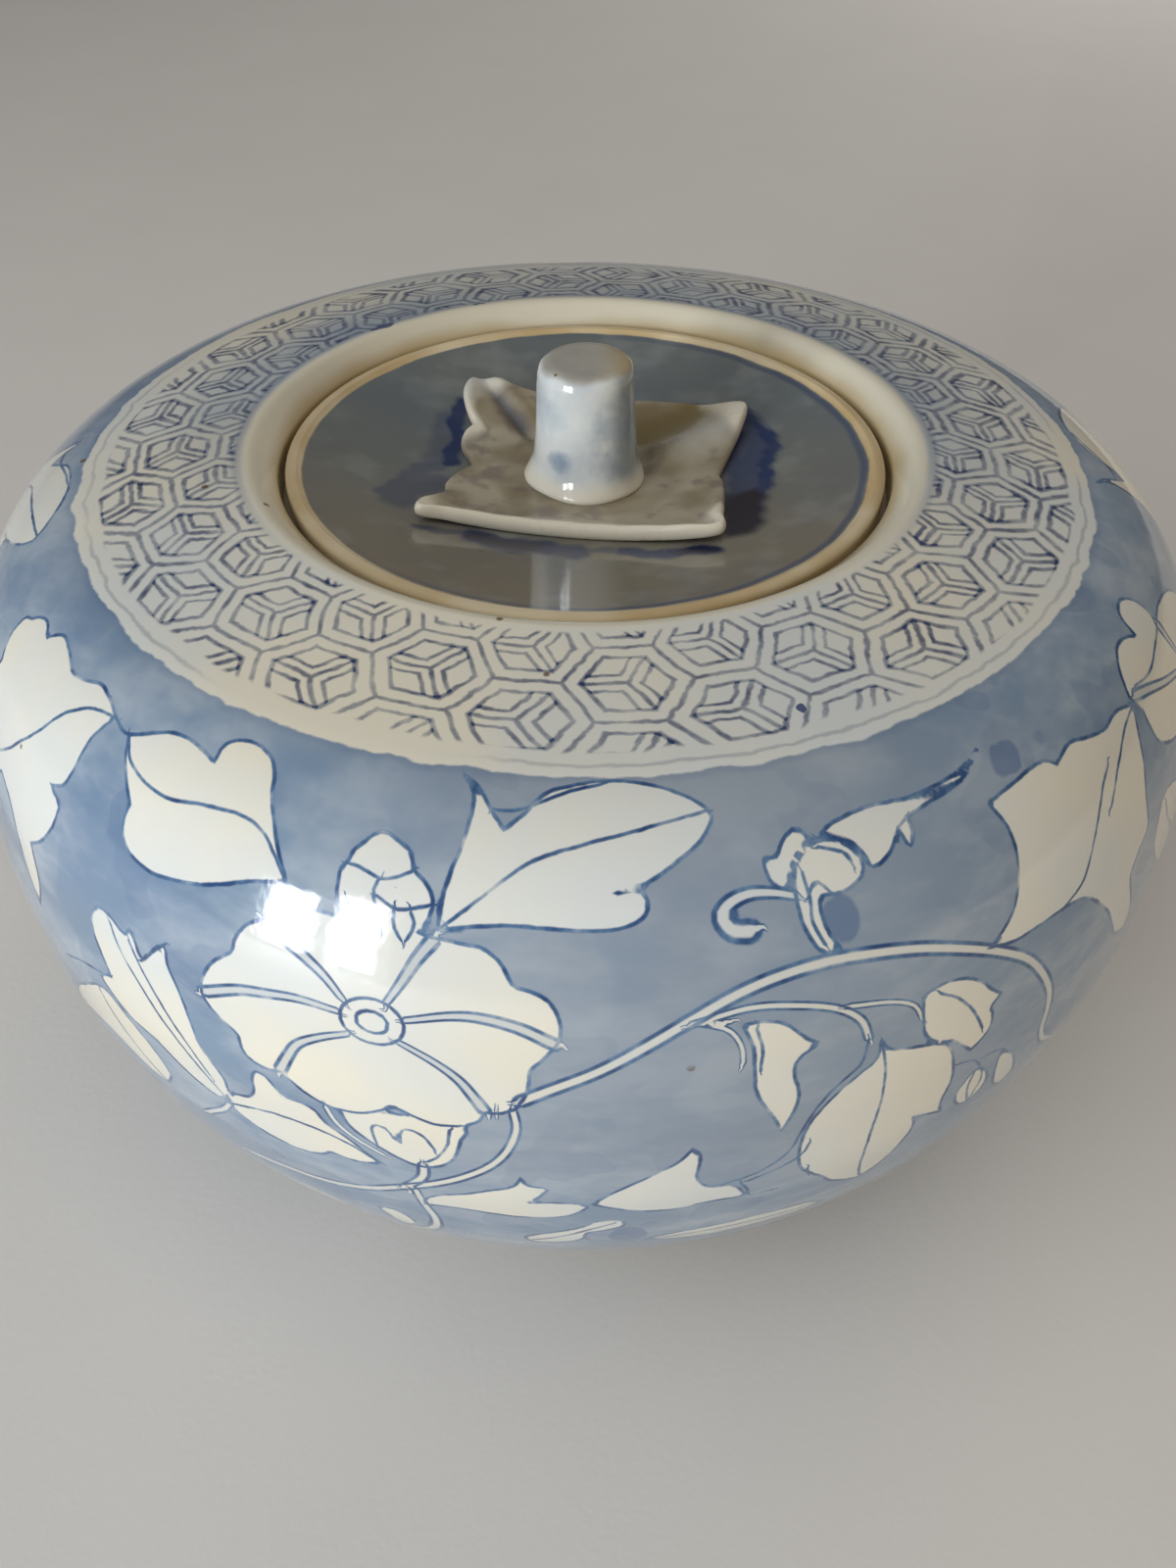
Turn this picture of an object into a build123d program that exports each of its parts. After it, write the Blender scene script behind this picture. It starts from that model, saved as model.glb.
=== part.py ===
from build123d import *
import os

# Squat lidded porcelain jar, in millimetres. The origin is the middle of the foot's resting face, +Z is up.
# The jar body is thrown and turned. The lid is a shallow dished disc that drops into a gallery inside the
# mouth. A square leaf and a stem-shaped knob are luted onto the lid before firing.

# Heights
MOUTH_TOP = 130.0  # top of the jar's rounded lip
LIP_TO_LID = 3.0  # the lid's rim lies this far below the lip
LID_TOP = MOUTH_TOP - LIP_TO_LID

# Jar body, outside: tangent arcs from the lip down to the foot, each (turn in degrees, radius)
LIP_RADIUS = 58.0
SHOULDER_START_SLOPE = 5.0
BODY_BENDS = [(4, 370.0), (44, 27.0), (29, 42.0), (13, 118.0), (18, 98.0), (52, 62.0)]
WALL = 5.0

# Gallery inside the mouth, which holds the lid
RECESS_RADIUS = 52.6
RIM_THICKNESS = 5.5  # of the lid's rim, so also the depth of its seat below LID_TOP
SEAT_Z = LID_TOP - RIM_THICKNESS
THROAT_RADIUS = 46.0
GALLERY_THICKNESS = 5.0
GALLERY_OUTER_RADIUS = 57.0
GALLERY_BLEND_RADIUS = 68.0  # where the gallery's underside meets the shoulder
GALLERY_FILLETS = [6.0, 2.0, 0.8, 0.5, 1.5, 2.4]  # corners in order, from the shoulder's underside to the lip
BAND_START_DEPTH = 3.8  # the sloping band starts this far below the lip
LIP_CORNER_INSET = 1.4
LIP_CORNER_RISE = 0.12

# Foot
FOOT_OUTER_RADIUS = 59.0
FOOT_WIDTH = 7.0
FOOT_RECESS = 4.0
FOOT_TAPER = 0.7  # the foot ring's walls lean by this much
FOOT_TOP_DROP = 0.6  # the foot's outer wall starts this far below the end of the body's curve
FOOT_FILLETS = [0.9, 0.8, 0.8, 1.5]
FLOOR_BLEND_TURN = 15
FLOOR_BLEND_RADIUS = 40.0

# Lid: a dished disc with a raised rim
LID_RADIUS = 51.6
LID_RIM_INNER_RADIUS = 48.4
LID_RIM_CREST_INSET = 1.2
LID_RIM_STEP = 0.6
DISH_DEPTH = 7.2  # the dish's centre below the rim
LID_CENTRE_Z = LID_TOP - DISH_DEPTH
PLUG_RADIUS = 45.2  # the underside that drops into the throat
PLUG_STEP = 2.5
CENTRE_THICKNESS = 4.6
LID_FILLETS = [0.6, 1.6, 0.8, 0.4]  # crest, outer edge, seat's edge, root of the plug

# Leaf luted to the lid's centre
LEAF_THICKNESS = 1.9
LEAF_FLAT_RADIUS = 11.5  # the flat seat for the knob
LEAF_CONTACT_RADIUS = 20.0  # the leaf lies on the dish within this radius and lifts off beyond it
LEAF_LIFT_RADIUS = 24.0  # radius of the arc that turns the leaf's tips up
LEAF_LIFT_TURN = 28
LEAF_TIPS = [(33.0, 33), (33.0, 128), (33.0, 213), (32.5, 313)]  # (distance from the axis, degrees)
LEAF_EDGE_SAG = 2.0  # the four edges bow inwards by this much
LEAF_BLANK_MARGIN = 5.0  # the outline's prism reaches this far past the dish, below and above

# Knob
KNOB_BASE_RADIUS = 10.3
KNOB_WAIST_RADIUS = 9.3
KNOB_WAIST_HEIGHT = 3.2
KNOB_TOP_RADIUS = 8.0
KNOB_HEIGHT = 21.5
KNOB_CROWN = 0.5  # how far the middle of the top stands above its edge
KNOB_FILLETS = [0.5, 4.0, 2.6]  # foot, waist, top edge


def on_axis(z):
    """Point on the jar's axis at height z, in the section's (radius, height) coordinates."""
    return Vector(0, z)


def arc_chain(start, slope, bends):
    """Tangent arcs that run on from start, bending downwards. slope is the first fall in degrees."""
    arcs = []
    direction = Vector(1, 0).rotate(Axis.Z, -slope)
    for turn, radius in bends:
        arc = JernArc(start, direction, radius, -turn)
        arcs.append(arc)
        start = arc @ 1
        direction = arc % 1
    return arcs


def turned(outline):
    """Solid of revolution about Z from a closed outline in (radius, height) coordinates."""
    section = make_face(Curve() + outline)
    return revolve(Plane.XZ * section, Axis.Z)


def dish_radius():
    """Radius of the sphere that passes through the lid's centre and its rim's inner edge."""
    rise = DISH_DEPTH - LID_RIM_STEP
    return (LID_RIM_INNER_RADIUS**2 + rise**2) / (2 * rise)


def dish_arc(reach):
    """The lid's dished top, from the axis out to the radius reach."""
    radius = dish_radius()
    centre_z = LID_CENTRE_Z + radius
    middle = reach / 2
    middle_point = Vector(middle, centre_z - (radius**2 - middle**2) ** 0.5)
    end_point = Vector(reach, centre_z - (radius**2 - reach**2) ** 0.5)
    return ThreePointArc(on_axis(LID_CENTRE_Z), middle_point, end_point)


def jar_body():
    """Hollow body with a lip, a gallery for the lid and a turned foot ring."""
    lip = Vector(LIP_RADIUS, MOUTH_TOP)
    outside = arc_chain(lip, SHOULDER_START_SLOPE, BODY_BENDS)
    foot_join = outside[-1] @ 1

    foot_inner_radius = FOOT_OUTER_RADIUS - FOOT_WIDTH
    foot = FilletPolyline(
        foot_join,
        (FOOT_OUTER_RADIUS + FOOT_TAPER, foot_join.Y - FOOT_TOP_DROP),
        (FOOT_OUTER_RADIUS, 0),
        (foot_inner_radius, 0),
        (foot_inner_radius - FOOT_TAPER, FOOT_RECESS),
        on_axis(FOOT_RECESS),
        radius=FOOT_FILLETS,
    )

    first_normal = Vector(0, 1).rotate(Axis.Z, -SHOULDER_START_SLOPE)
    inner_bends = [(turn, radius - WALL) for turn, radius in BODY_BENDS]
    inner_bends.append((FLOOR_BLEND_TURN, FLOOR_BLEND_RADIUS))
    inside = arc_chain(lip - first_normal * WALL, SHOULDER_START_SLOPE, inner_bends)
    floor_end = inside[-1] @ 1
    floor = Line(floor_end, on_axis(floor_end.Y))
    axis_line = Line(on_axis(floor_end.Y), on_axis(FOOT_RECESS))

    # The gallery's outline leaves the shoulder's underside and comes back to the lip from inside.
    shoulder = inside[0]
    blend_share = (GALLERY_BLEND_RADIUS - shoulder.start_point().X) / (
        shoulder.end_point().X - shoulder.start_point().X
    )
    shoulder_underside = shoulder.trim(blend_share, 1)
    gallery_z = SEAT_Z - GALLERY_THICKNESS
    gallery = FilletPolyline(
        shoulder_underside @ 0,
        (GALLERY_OUTER_RADIUS, gallery_z),
        (THROAT_RADIUS, gallery_z),
        (THROAT_RADIUS, SEAT_Z),
        (RECESS_RADIUS, SEAT_Z),
        (RECESS_RADIUS, MOUTH_TOP - BAND_START_DEPTH),
        (LIP_RADIUS - LIP_CORNER_INSET, MOUTH_TOP + LIP_CORNER_RISE),
        lip,
        radius=GALLERY_FILLETS,
    )
    return turned([*outside, foot, axis_line, floor, shoulder_underside, *inside[1:], gallery])


def lid_plate():
    """Dished disc with a raised rim, a flat seat under the rim and a plug that centres it."""
    dish = dish_arc(LID_RIM_INNER_RADIUS)
    plug_corner = Vector(PLUG_RADIUS, SEAT_Z - PLUG_STEP)
    rim = FilletPolyline(
        dish @ 1,
        (LID_RADIUS - 2 * LID_RIM_CREST_INSET, LID_TOP),
        (LID_RADIUS, LID_TOP),
        (LID_RADIUS, SEAT_Z),
        (PLUG_RADIUS, SEAT_Z),
        plug_corner,
        radius=LID_FILLETS,
    )
    underside_centre = on_axis(LID_CENTRE_Z - CENTRE_THICKNESS)
    underside = TangentArc(underside_centre, plug_corner, tangent=(1, 0))
    axis_line = Line(underside_centre, on_axis(LID_CENTRE_Z))
    return turned([dish, rim, underside, axis_line])


def leaf_outline():
    """Four-tipped leaf outline whose edges bow inwards between the tips."""
    tips = [Vector(reach, 0).rotate(Axis.Z, angle) for reach, angle in LEAF_TIPS]
    edges = []
    for start, end in zip(tips, tips[1:] + tips[:1]):
        middle = (start + end) * 0.5
        bowed = middle - middle.normalized() * LEAF_EDGE_SAG
        edges.append(ThreePointArc(start, bowed, end))
    return make_face(Curve() + edges)


def lid_calyx():
    """Leaf that lies on the dish at its centre and turns up towards its tips."""
    contact = dish_arc(LEAF_CONTACT_RADIUS)
    lift = JernArc(contact @ 1, contact % 1, LEAF_LIFT_RADIUS, LEAF_LIFT_TURN)
    across = (lift % 1).rotate(Axis.Z, 90)
    top_edge = lift @ 1 + across * LEAF_THICKNESS
    top_turn = JernArc(top_edge, -(lift % 1), LEAF_LIFT_RADIUS - LEAF_THICKNESS, -LEAF_LIFT_TURN)
    flat_z = LID_CENTRE_Z + LEAF_THICKNESS
    flat_edge = Vector(LEAF_FLAT_RADIUS, flat_z)
    saucer = turned(
        [
            contact,
            lift,
            Line(lift @ 1, top_edge),
            top_turn,
            Line(top_turn @ 1, flat_edge),
            Line(flat_edge, on_axis(flat_z)),
            Line(on_axis(flat_z), on_axis(LID_CENTRE_Z)),
        ]
    )
    blank = extrude(leaf_outline(), DISH_DEPTH + 2 * LEAF_BLANK_MARGIN)
    return saucer & Pos(0, 0, LID_CENTRE_Z - LEAF_BLANK_MARGIN) * blank


def lid_knob():
    """Stem-shaped knob with a flared foot and a softly crowned top."""
    base_z = LID_CENTRE_Z + LEAF_THICKNESS
    top_z = base_z + KNOB_HEIGHT
    outline = FilletPolyline(
        on_axis(base_z),
        (KNOB_BASE_RADIUS, base_z),
        (KNOB_WAIST_RADIUS, base_z + KNOB_WAIST_HEIGHT),
        (KNOB_TOP_RADIUS, top_z - KNOB_CROWN),
        on_axis(top_z),
        radius=KNOB_FILLETS,
    )
    return turned([outline, Line(on_axis(top_z), on_axis(base_z))])


os.makedirs("parts", exist_ok=True)
for name, shape in {
    "jar_body": jar_body(),
    "lid_plate": lid_plate(),
    "lid_calyx": lid_calyx(),
    "lid_knob": lid_knob(),
}.items():
    export_step(shape, f"parts/{name}.step")
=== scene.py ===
# %% [markdown]
# # A squat blue-and-white porcelain jar
# The real jar is four pieces of fired clay: a thrown and turned body, a dished lid that drops into its
# mouth, and a square leaf and a stem knob luted to the lid. The shapes below are surfaces worked out with
# numpy, and the brushwork is painted by measuring how far each point of the surface lies from every stroke.

# %% Load the fixed frame
import math
import bpy
import numpy as np
from mathutils import Matrix, Vector


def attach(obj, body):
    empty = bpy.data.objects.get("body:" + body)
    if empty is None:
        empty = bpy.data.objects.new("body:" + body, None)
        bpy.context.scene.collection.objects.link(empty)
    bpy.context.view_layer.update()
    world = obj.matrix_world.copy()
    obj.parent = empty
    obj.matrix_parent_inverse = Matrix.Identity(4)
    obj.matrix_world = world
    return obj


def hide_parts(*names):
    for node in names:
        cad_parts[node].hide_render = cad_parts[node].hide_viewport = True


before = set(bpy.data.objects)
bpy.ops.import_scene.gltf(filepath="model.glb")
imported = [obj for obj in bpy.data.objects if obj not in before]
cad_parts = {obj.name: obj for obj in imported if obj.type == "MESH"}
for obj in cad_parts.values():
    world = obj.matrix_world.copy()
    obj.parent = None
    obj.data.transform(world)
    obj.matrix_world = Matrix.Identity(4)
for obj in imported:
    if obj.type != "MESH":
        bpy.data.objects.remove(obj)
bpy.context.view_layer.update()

# %% [markdown]
# ## Camera
# A jar this wide and low shows most of itself from above and close by. The camera stands a short arm's
# length away and looks down at about forty degrees through a slightly wide lens, so the near shoulder
# swells towards the viewer. Everything else is judged inside this view, so it comes first.

# %% Camera
MM = 0.001
CAMERA_PLACE = (0.85 * MM, -214.7 * MM, 240.7 * MM)
CAMERA_PITCH = math.radians(90 - 41.81)
CAMERA_ROLL = math.radians(0.42)

camera_data = bpy.data.cameras.new("camera")
camera_data.sensor_width = 36.0
camera_data.lens = 31.2
camera_data.clip_start = 0.01
camera = bpy.data.objects.new("camera", camera_data)
bpy.context.scene.collection.objects.link(camera)
camera.matrix_world = (
    Matrix.Translation(CAMERA_PLACE)
    @ Matrix.Rotation(CAMERA_PITCH, 4, "X")
    @ Matrix.Rotation(CAMERA_ROLL, 4, "Z")
)
bpy.context.scene.camera = camera
print("camera", CAMERA_PLACE, "lens", camera_data.lens)

# %% [markdown]
# ## A grid for every turned piece
# A potter's wheel makes surfaces of revolution, so one helper serves the body, the lid and the knob. It
# takes rows of points that run round the axis, closes the two poles with a single point each, and lays a
# UV map over the surface: across is the angle, down is the distance along the outline. Angle 0 faces the
# viewer (-Y) and grows to the viewer's right. Columns may lie closer together at the front, where the
# finest brushwork is.

# %% Turned surfaces
def columns(count, crowding=0.0):
    """Column angles from -pi to pi: theta - crowding sin(theta), closest together at theta = 0."""
    theta = 2 * np.pi * np.arange(count) / count - np.pi
    return theta - crowding * np.sin(theta)


def place(radius, height, theta):
    """Points at a radius and height, theta round from the viewer: (r sin theta, -r cos theta, z)."""
    parts = np.broadcast_arrays(radius * np.sin(theta), -radius * np.cos(theta), height)
    return np.stack(parts, -1)


def closed_grid(name, points, theta, along, start_pole, end_pole):
    """Mesh from points[row, column] in millimetres, closed round the columns, with a fan to each pole.
    UV is (theta in degrees, along), the distance along the outline of each row. The faces look outwards
    whichever way the outline runs: its signed area, sum(r dz - z dr), is above zero when it climbs the
    outside, and then they are turned over."""
    rows, cols = points.shape[:2]
    index = np.arange(rows * cols).reshape(rows, cols)
    right = np.roll(index, -1, axis=1)
    quads = np.stack([index[:-1], index[1:], right[1:], right[:-1]], -1).reshape(-1, 4)
    first_pole = rows * cols
    start_fan = np.stack([np.full(cols, first_pole), index[0], right[0]], -1)
    end_fan = np.stack([np.full(cols, first_pole + 1), right[-1], index[-1]], -1)
    vertices = np.vstack([points.reshape(-1, 3), start_pole, end_pole])

    mesh = bpy.data.meshes.new(name)
    mesh.from_pydata((vertices * MM).tolist(), [], quads.tolist() + start_fan.tolist() + end_fan.tolist())
    mesh.polygons.foreach_set("use_smooth", np.ones(len(mesh.polygons), bool))

    degrees = np.degrees(np.append(theta, theta[0] + 2 * np.pi))
    here, there = degrees[:-1], degrees[1:]
    across = np.broadcast_to(np.stack([here, here, there, there], -1), (rows - 1, cols, 4))
    down = np.stack([along[:-1], along[1:], along[1:], along[:-1]], -1)[:, None, :]
    quad_uv = np.stack([across, np.broadcast_to(down, across.shape)], -1).reshape(-1, 2)
    middle = (here + there) / 2
    start_uv = np.stack([middle, here, there, *[np.full(cols, along[0])] * 3], -1).reshape(cols, 2, 3)
    end_uv = np.stack([middle, there, here, *[np.full(cols, along[-1])] * 3], -1).reshape(cols, 2, 3)
    fan_uv = np.concatenate([start_uv, end_uv]).transpose(0, 2, 1).reshape(-1, 2)
    layer = mesh.uv_layers.new(name="wrap")
    layer.data.foreach_set("uv", np.vstack([quad_uv, fan_uv]).astype(np.float32).ravel())
    radius = np.array([0, *np.hypot(points[:, 0, 0], points[:, 0, 1]), 0])
    height = np.array([start_pole[2], *points[:, 0, 2], end_pole[2]])
    if (radius * np.roll(height, -1) - height * np.roll(radius, -1)).sum() > 0:
        mesh.flip_normals()
    mesh.update()
    piece = bpy.data.objects.new(name, mesh)
    bpy.context.scene.collection.objects.link(piece)
    print(name, len(vertices), "points,", 2 * len(quads) + 2 * cols, "triangles")
    return piece


def paint_on(piece, name, values):
    """Store values[row, column], one number per vertex. Each pole takes the mean of the row next to it."""
    layer = piece.data.attributes.new(name, "FLOAT", "POINT")
    full = np.concatenate([values.ravel(), [values[0].mean(), values[-1].mean()]])
    layer.data.foreach_set("value", full.astype(np.float32))


def bends(start, slope, turns, steps):
    """Tangent arcs as (radius, height) rows. Each (turn, radius) bends further down the wall: along it
    r grows by R (sin b - sin a) and z by R (cos b - cos a), with a and b the slopes below level."""
    rows = []
    radius, height = start
    a = math.radians(slope)
    for (turn, bend_radius), step in zip(turns, steps):
        turn = math.radians(turn)
        count = max(2, int(round(turn * bend_radius / step)))
        b = a + turn * np.arange(count) / count
        rows.append(np.stack([
            radius + bend_radius * (np.sin(b) - math.sin(a)),
            height + bend_radius * (np.cos(b) - math.cos(a)),
        ], -1))
        radius += bend_radius * (math.sin(a + turn) - math.sin(a))
        height += bend_radius * (math.cos(a + turn) - math.cos(a))
        a += turn
    rows.append([[radius, height]])
    return np.vstack(rows)


ROUND_ROWS = 4


def rounded(corners, radii, step):
    """Polyline of (r, z) corners with its inner corners rounded, in rows about step apart. Each round is
    a quadratic blend that starts R tan(half the turn) before the corner and ends as far after it."""
    corners = np.array(corners, float)
    path = [corners[:1]]
    for before, corner, after, radius in zip(corners, corners[1:], corners[2:], radii):
        u = (before - corner) / np.linalg.norm(before - corner)
        v = (after - corner) / np.linalg.norm(after - corner)
        reach = radius * math.tan((math.pi - math.acos(np.clip(u @ v, -1, 1))) / 2)
        t = np.linspace(0, 1, ROUND_ROWS)[:, None]
        path.append(
            (1 - t) ** 2 * (corner + u * reach) + 2 * t * (1 - t) * corner + t**2 * (corner + v * reach)
        )
    path.append(corners[-1:])
    path = np.vstack(path)
    spans = [
        start + (end - start) * np.arange(1, parts + 1)[:, None] / parts
        for start, end in zip(path, path[1:])
        for parts in [max(1, int(round(np.linalg.norm(end - start) / step)))]
    ]
    return np.vstack([path[:1], *spans])


def run_length(outline):
    """Distance along an outline of (r, z) rows, from its first row."""
    return np.concatenate([[0], np.cumsum(np.linalg.norm(np.diff(outline, axis=0), axis=1))])

# %% [markdown]
# ## The jar's outline
# The body was thrown as a wide, low form: a nearly flat shoulder turns over sharply, the wall is widest
# above half height, and it draws in to a turned foot ring. The outline is a chain of tangent arcs, as a
# profile gauge would have it. It starts inside on the floor, climbs the inner wall, passes under and over
# the gallery that carries the lid, crosses the lip, comes down the outside and ends under the foot. Rows
# are close together on the painted wall and far apart inside.

# %% Jar outline
LIP = (58.0, 130.0)
LIP_SLOPE = 5.0
BODY_BENDS = [(4, 370.0), (44, 27.0), (29, 42.0), (13, 118.0), (18, 98.0), (52, 62.0)]
WALL = 5.0
SEAT_HEIGHT = 121.5
THROAT_RADIUS = 46.0
RECESS_RADIUS = 52.6
GALLERY_BLEND_RADIUS = 66.0
FOOT_RADIUS = 59.0
FOOT_INNER = 52.0
FOOT_RECESS = 4.0
PAINTED_STEPS = [2.6, 1.1, 1.1, 1.1, 1.1, 1.9]  # rows on each outside arc
HIDDEN_STEPS = [30.0, 8.0, 9.0, 14.0, 15.0, 15.0, 12.0]  # rows on each inside arc

outside = bends(LIP, LIP_SLOPE, BODY_BENDS, PAINTED_STEPS)
inner_start = (
    LIP[0] - WALL * math.sin(math.radians(LIP_SLOPE)),
    LIP[1] - WALL * math.cos(math.radians(LIP_SLOPE)),
)
inner_bends = [(turn, radius - WALL) for turn, radius in BODY_BENDS]
inner_bends.append((15, 40.0))
inside = bends(inner_start, LIP_SLOPE, inner_bends, HIDDEN_STEPS)
inside = inside[np.argmax(inside[:, 0] > GALLERY_BLEND_RADIUS):]
gallery = rounded(
    [inside[0], (57.0, 116.5), (THROAT_RADIUS, 116.5), (THROAT_RADIUS, SEAT_HEIGHT),
     (RECESS_RADIUS, SEAT_HEIGHT), (RECESS_RADIUS, 126.2), (56.6, 130.12), LIP],
    [6.0, 2.0, 0.8, 0.5, 1.5, 2.4], 6.0)
foot = rounded(
    [outside[-1], (FOOT_RADIUS + 0.7, outside[-1, 1] - 0.6), (FOOT_RADIUS, 0.0), (FOOT_INNER, 0.0),
     (FOOT_INNER - 0.7, FOOT_RECESS), (FOOT_INNER - 4.0, FOOT_RECESS)],
    [0.9, 0.8, 0.8, 1.5], 6.0)
outline = np.vstack([inside[::-1], gallery[1:-1], outside[:-1], foot])
lip_row = len(inside) + len(gallery) - 2
along = run_length(outline)
along -= along[lip_row]
print("outline rows", len(outline), "from the lip down", round(along[-1], 1), "mm")

# %% [markdown]
# ## How the brushwork is drawn
# Each motif is a handful of points on the wall, in degrees round and millimetres down from the lip, joined
# by smooth curves with sharp corners where the brush turned. A shape left white is stored as a signed
# distance: below zero inside, above zero outside. A stroke is stored as which side of it a point lies
# and how far away it is. Distances vary smoothly, so a shader can cut a crisp line out of a coarse grid.

# %% Curves and distances
FAR = 30.0
REACH = 7.0  # a motif is only measured this far from its own box
PEN_LAYERS = 3
STEM_LAYERS = 2
CROWDED = 2.0  # strokes nearer than this go into different layers, so that their sides stay apart


def smooth(points, parts=5):
    """Catmull-Rom curve through points: each span is a cubic whose end slopes are half the chord between
    its neighbours."""
    p = np.array(points, float)
    if len(p) < 3:
        return p
    p = np.vstack([2 * p[0] - p[1], p, 2 * p[-1] - p[-2]])
    t = (np.arange(parts) / parts)[:, None, None]
    a, b, c, d = p[:-3], p[1:-2], p[2:-1], p[3:]
    span = 0.5 * (2 * b + (c - a) * t + (2 * a - 5 * b + 4 * c - d) * t**2 + (3 * b - a - 3 * c + d) * t**3)
    return np.vstack([span.transpose(1, 0, 2).reshape(-1, 2), p[-2]])


def outline_of(runs):
    """Closed curve from smooth runs. Each run starts at the last point of the one before, with a corner."""
    pieces = []
    last = None
    for number, run in enumerate(runs):
        points = list(run) if last is None else [last, *run]
        if number == len(runs) - 1:
            points.append(runs[0][0])
        pieces.append(smooth(points)[:-1])
        last = run[-1]
    return np.vstack(pieces)


def segment_distances(points, starts, ends):
    """For each point and segment: the distance, the cross product that tells the side, and how far along."""
    d = ends - starts
    rel = points[:, None, :] - starts
    share = np.clip((rel * d).sum(-1) / np.maximum((d * d).sum(-1), 1e-12), 0, 1)
    gap = np.linalg.norm(rel - share[..., None] * d, axis=-1)
    side = d[..., 0] * rel[..., 1] - d[..., 1] * rel[..., 0]
    return gap, side, share


class Brushwork:
    """Signed distances from every motif to each vertex of a wall: theta in degrees, depth in mm from the
    lip and radius in mm give each vertex its place."""

    def __init__(self, theta, depth, radius):
        self.theta, self.depth, self.scale = theta, depth, np.radians(radius)
        self.white = np.full(theta.shape, FAR)
        self.pen = [np.full((2, theta.size), FAR) for _ in range(PEN_LAYERS)]
        self.stem = [np.full((2, theta.size), FAR) for _ in range(STEM_LAYERS)]

    def close_to(self, curve):
        """Vertices within REACH of the curve's box, and their places and the curve in local millimetres."""
        middle = (curve[:, 0].min() + curve[:, 0].max()) / 2
        half = (curve[:, 0].max() - curve[:, 0].min()) / 2
        turned = (self.theta - middle + 180) % 360 - 180
        wide = np.abs(turned) * self.scale < half * self.scale + REACH
        deep = (self.depth > curve[:, 1].min() - REACH) & (self.depth < curve[:, 1].max() + REACH)
        near = np.flatnonzero(wide & deep)
        scale = self.scale[near]
        here = np.stack([turned[near] * scale, self.depth[near]], -1)
        across = (curve[:, 0] - middle)[None, :] * scale[:, None]
        path = np.stack([across, np.broadcast_to(curve[:, 1], across.shape)], -1)
        return near, here, path

    def reserve(self, runs, shift=0.0, drop=0.0):
        """A shape left white: distance to its outline, negative inside by the even-odd crossing rule."""
        curve = outline_of(runs) + [shift, drop]
        curve = np.vstack([curve, curve[:1]])
        near, here, path = self.close_to(curve)
        starts, ends = path[:, :-1], path[:, 1:]
        gap, _, _ = segment_distances(here, starts, ends)
        crosses = (starts[..., 1] > here[:, None, 1]) != (ends[..., 1] > here[:, None, 1])
        rise = np.where(crosses, ends[..., 1] - starts[..., 1], 1.0)
        meets = starts[..., 0] + (here[:, None, 1] - starts[..., 1]) / rise * (ends[..., 0] - starts[..., 0])
        inside = (crosses & (meets > here[:, None, 0])).sum(1) % 2 == 1
        distance = gap.min(1) * np.where(inside, -1, 1)
        self.white[near] = np.minimum(self.white[near], distance)

    def stroke(self, points, shift=0.0, drop=0.0, width=None):
        """A line (width None) or a pale stem between two lines, of the half widths at its two ends. The
        side is the signed distance, divided by the half width for a stem. It goes into the layer whose
        other strokes are furthest from it."""
        curve = smooth(points) + [shift, drop]
        near, here, path = self.close_to(curve)
        gap, side, share = segment_distances(here, path[:, :-1], path[:, 1:])
        best = gap.argmin(1)
        pick = np.arange(len(near))
        distance = gap[pick, best]
        signed = np.where(side[pick, best] < 0, -distance, distance)
        layers = self.pen
        reach = distance
        if width is not None:
            layers = self.stem
            progress = (best + share[pick, best]) / (path.shape[1] - 1)
            half = width[0] + (width[1] - width[0]) * progress
            signed = signed / half
            reach = distance - half
        covered = near[reach < CROWDED]
        layer = max(layers, key=lambda one: one[0, covered].min(initial=FAR))
        closer = reach < layer[0, near]
        layer[0, near[closer]] = reach[closer]
        layer[1, near[closer]] = signed[closer]

# %% [markdown]
# ## The flowering branch
# One branch is painted across the front: a large open flower with double-lined petals, a bud above and
# below it, a long arched stem and leaves with ragged tips. The numbers are (degrees, millimetres).

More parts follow.
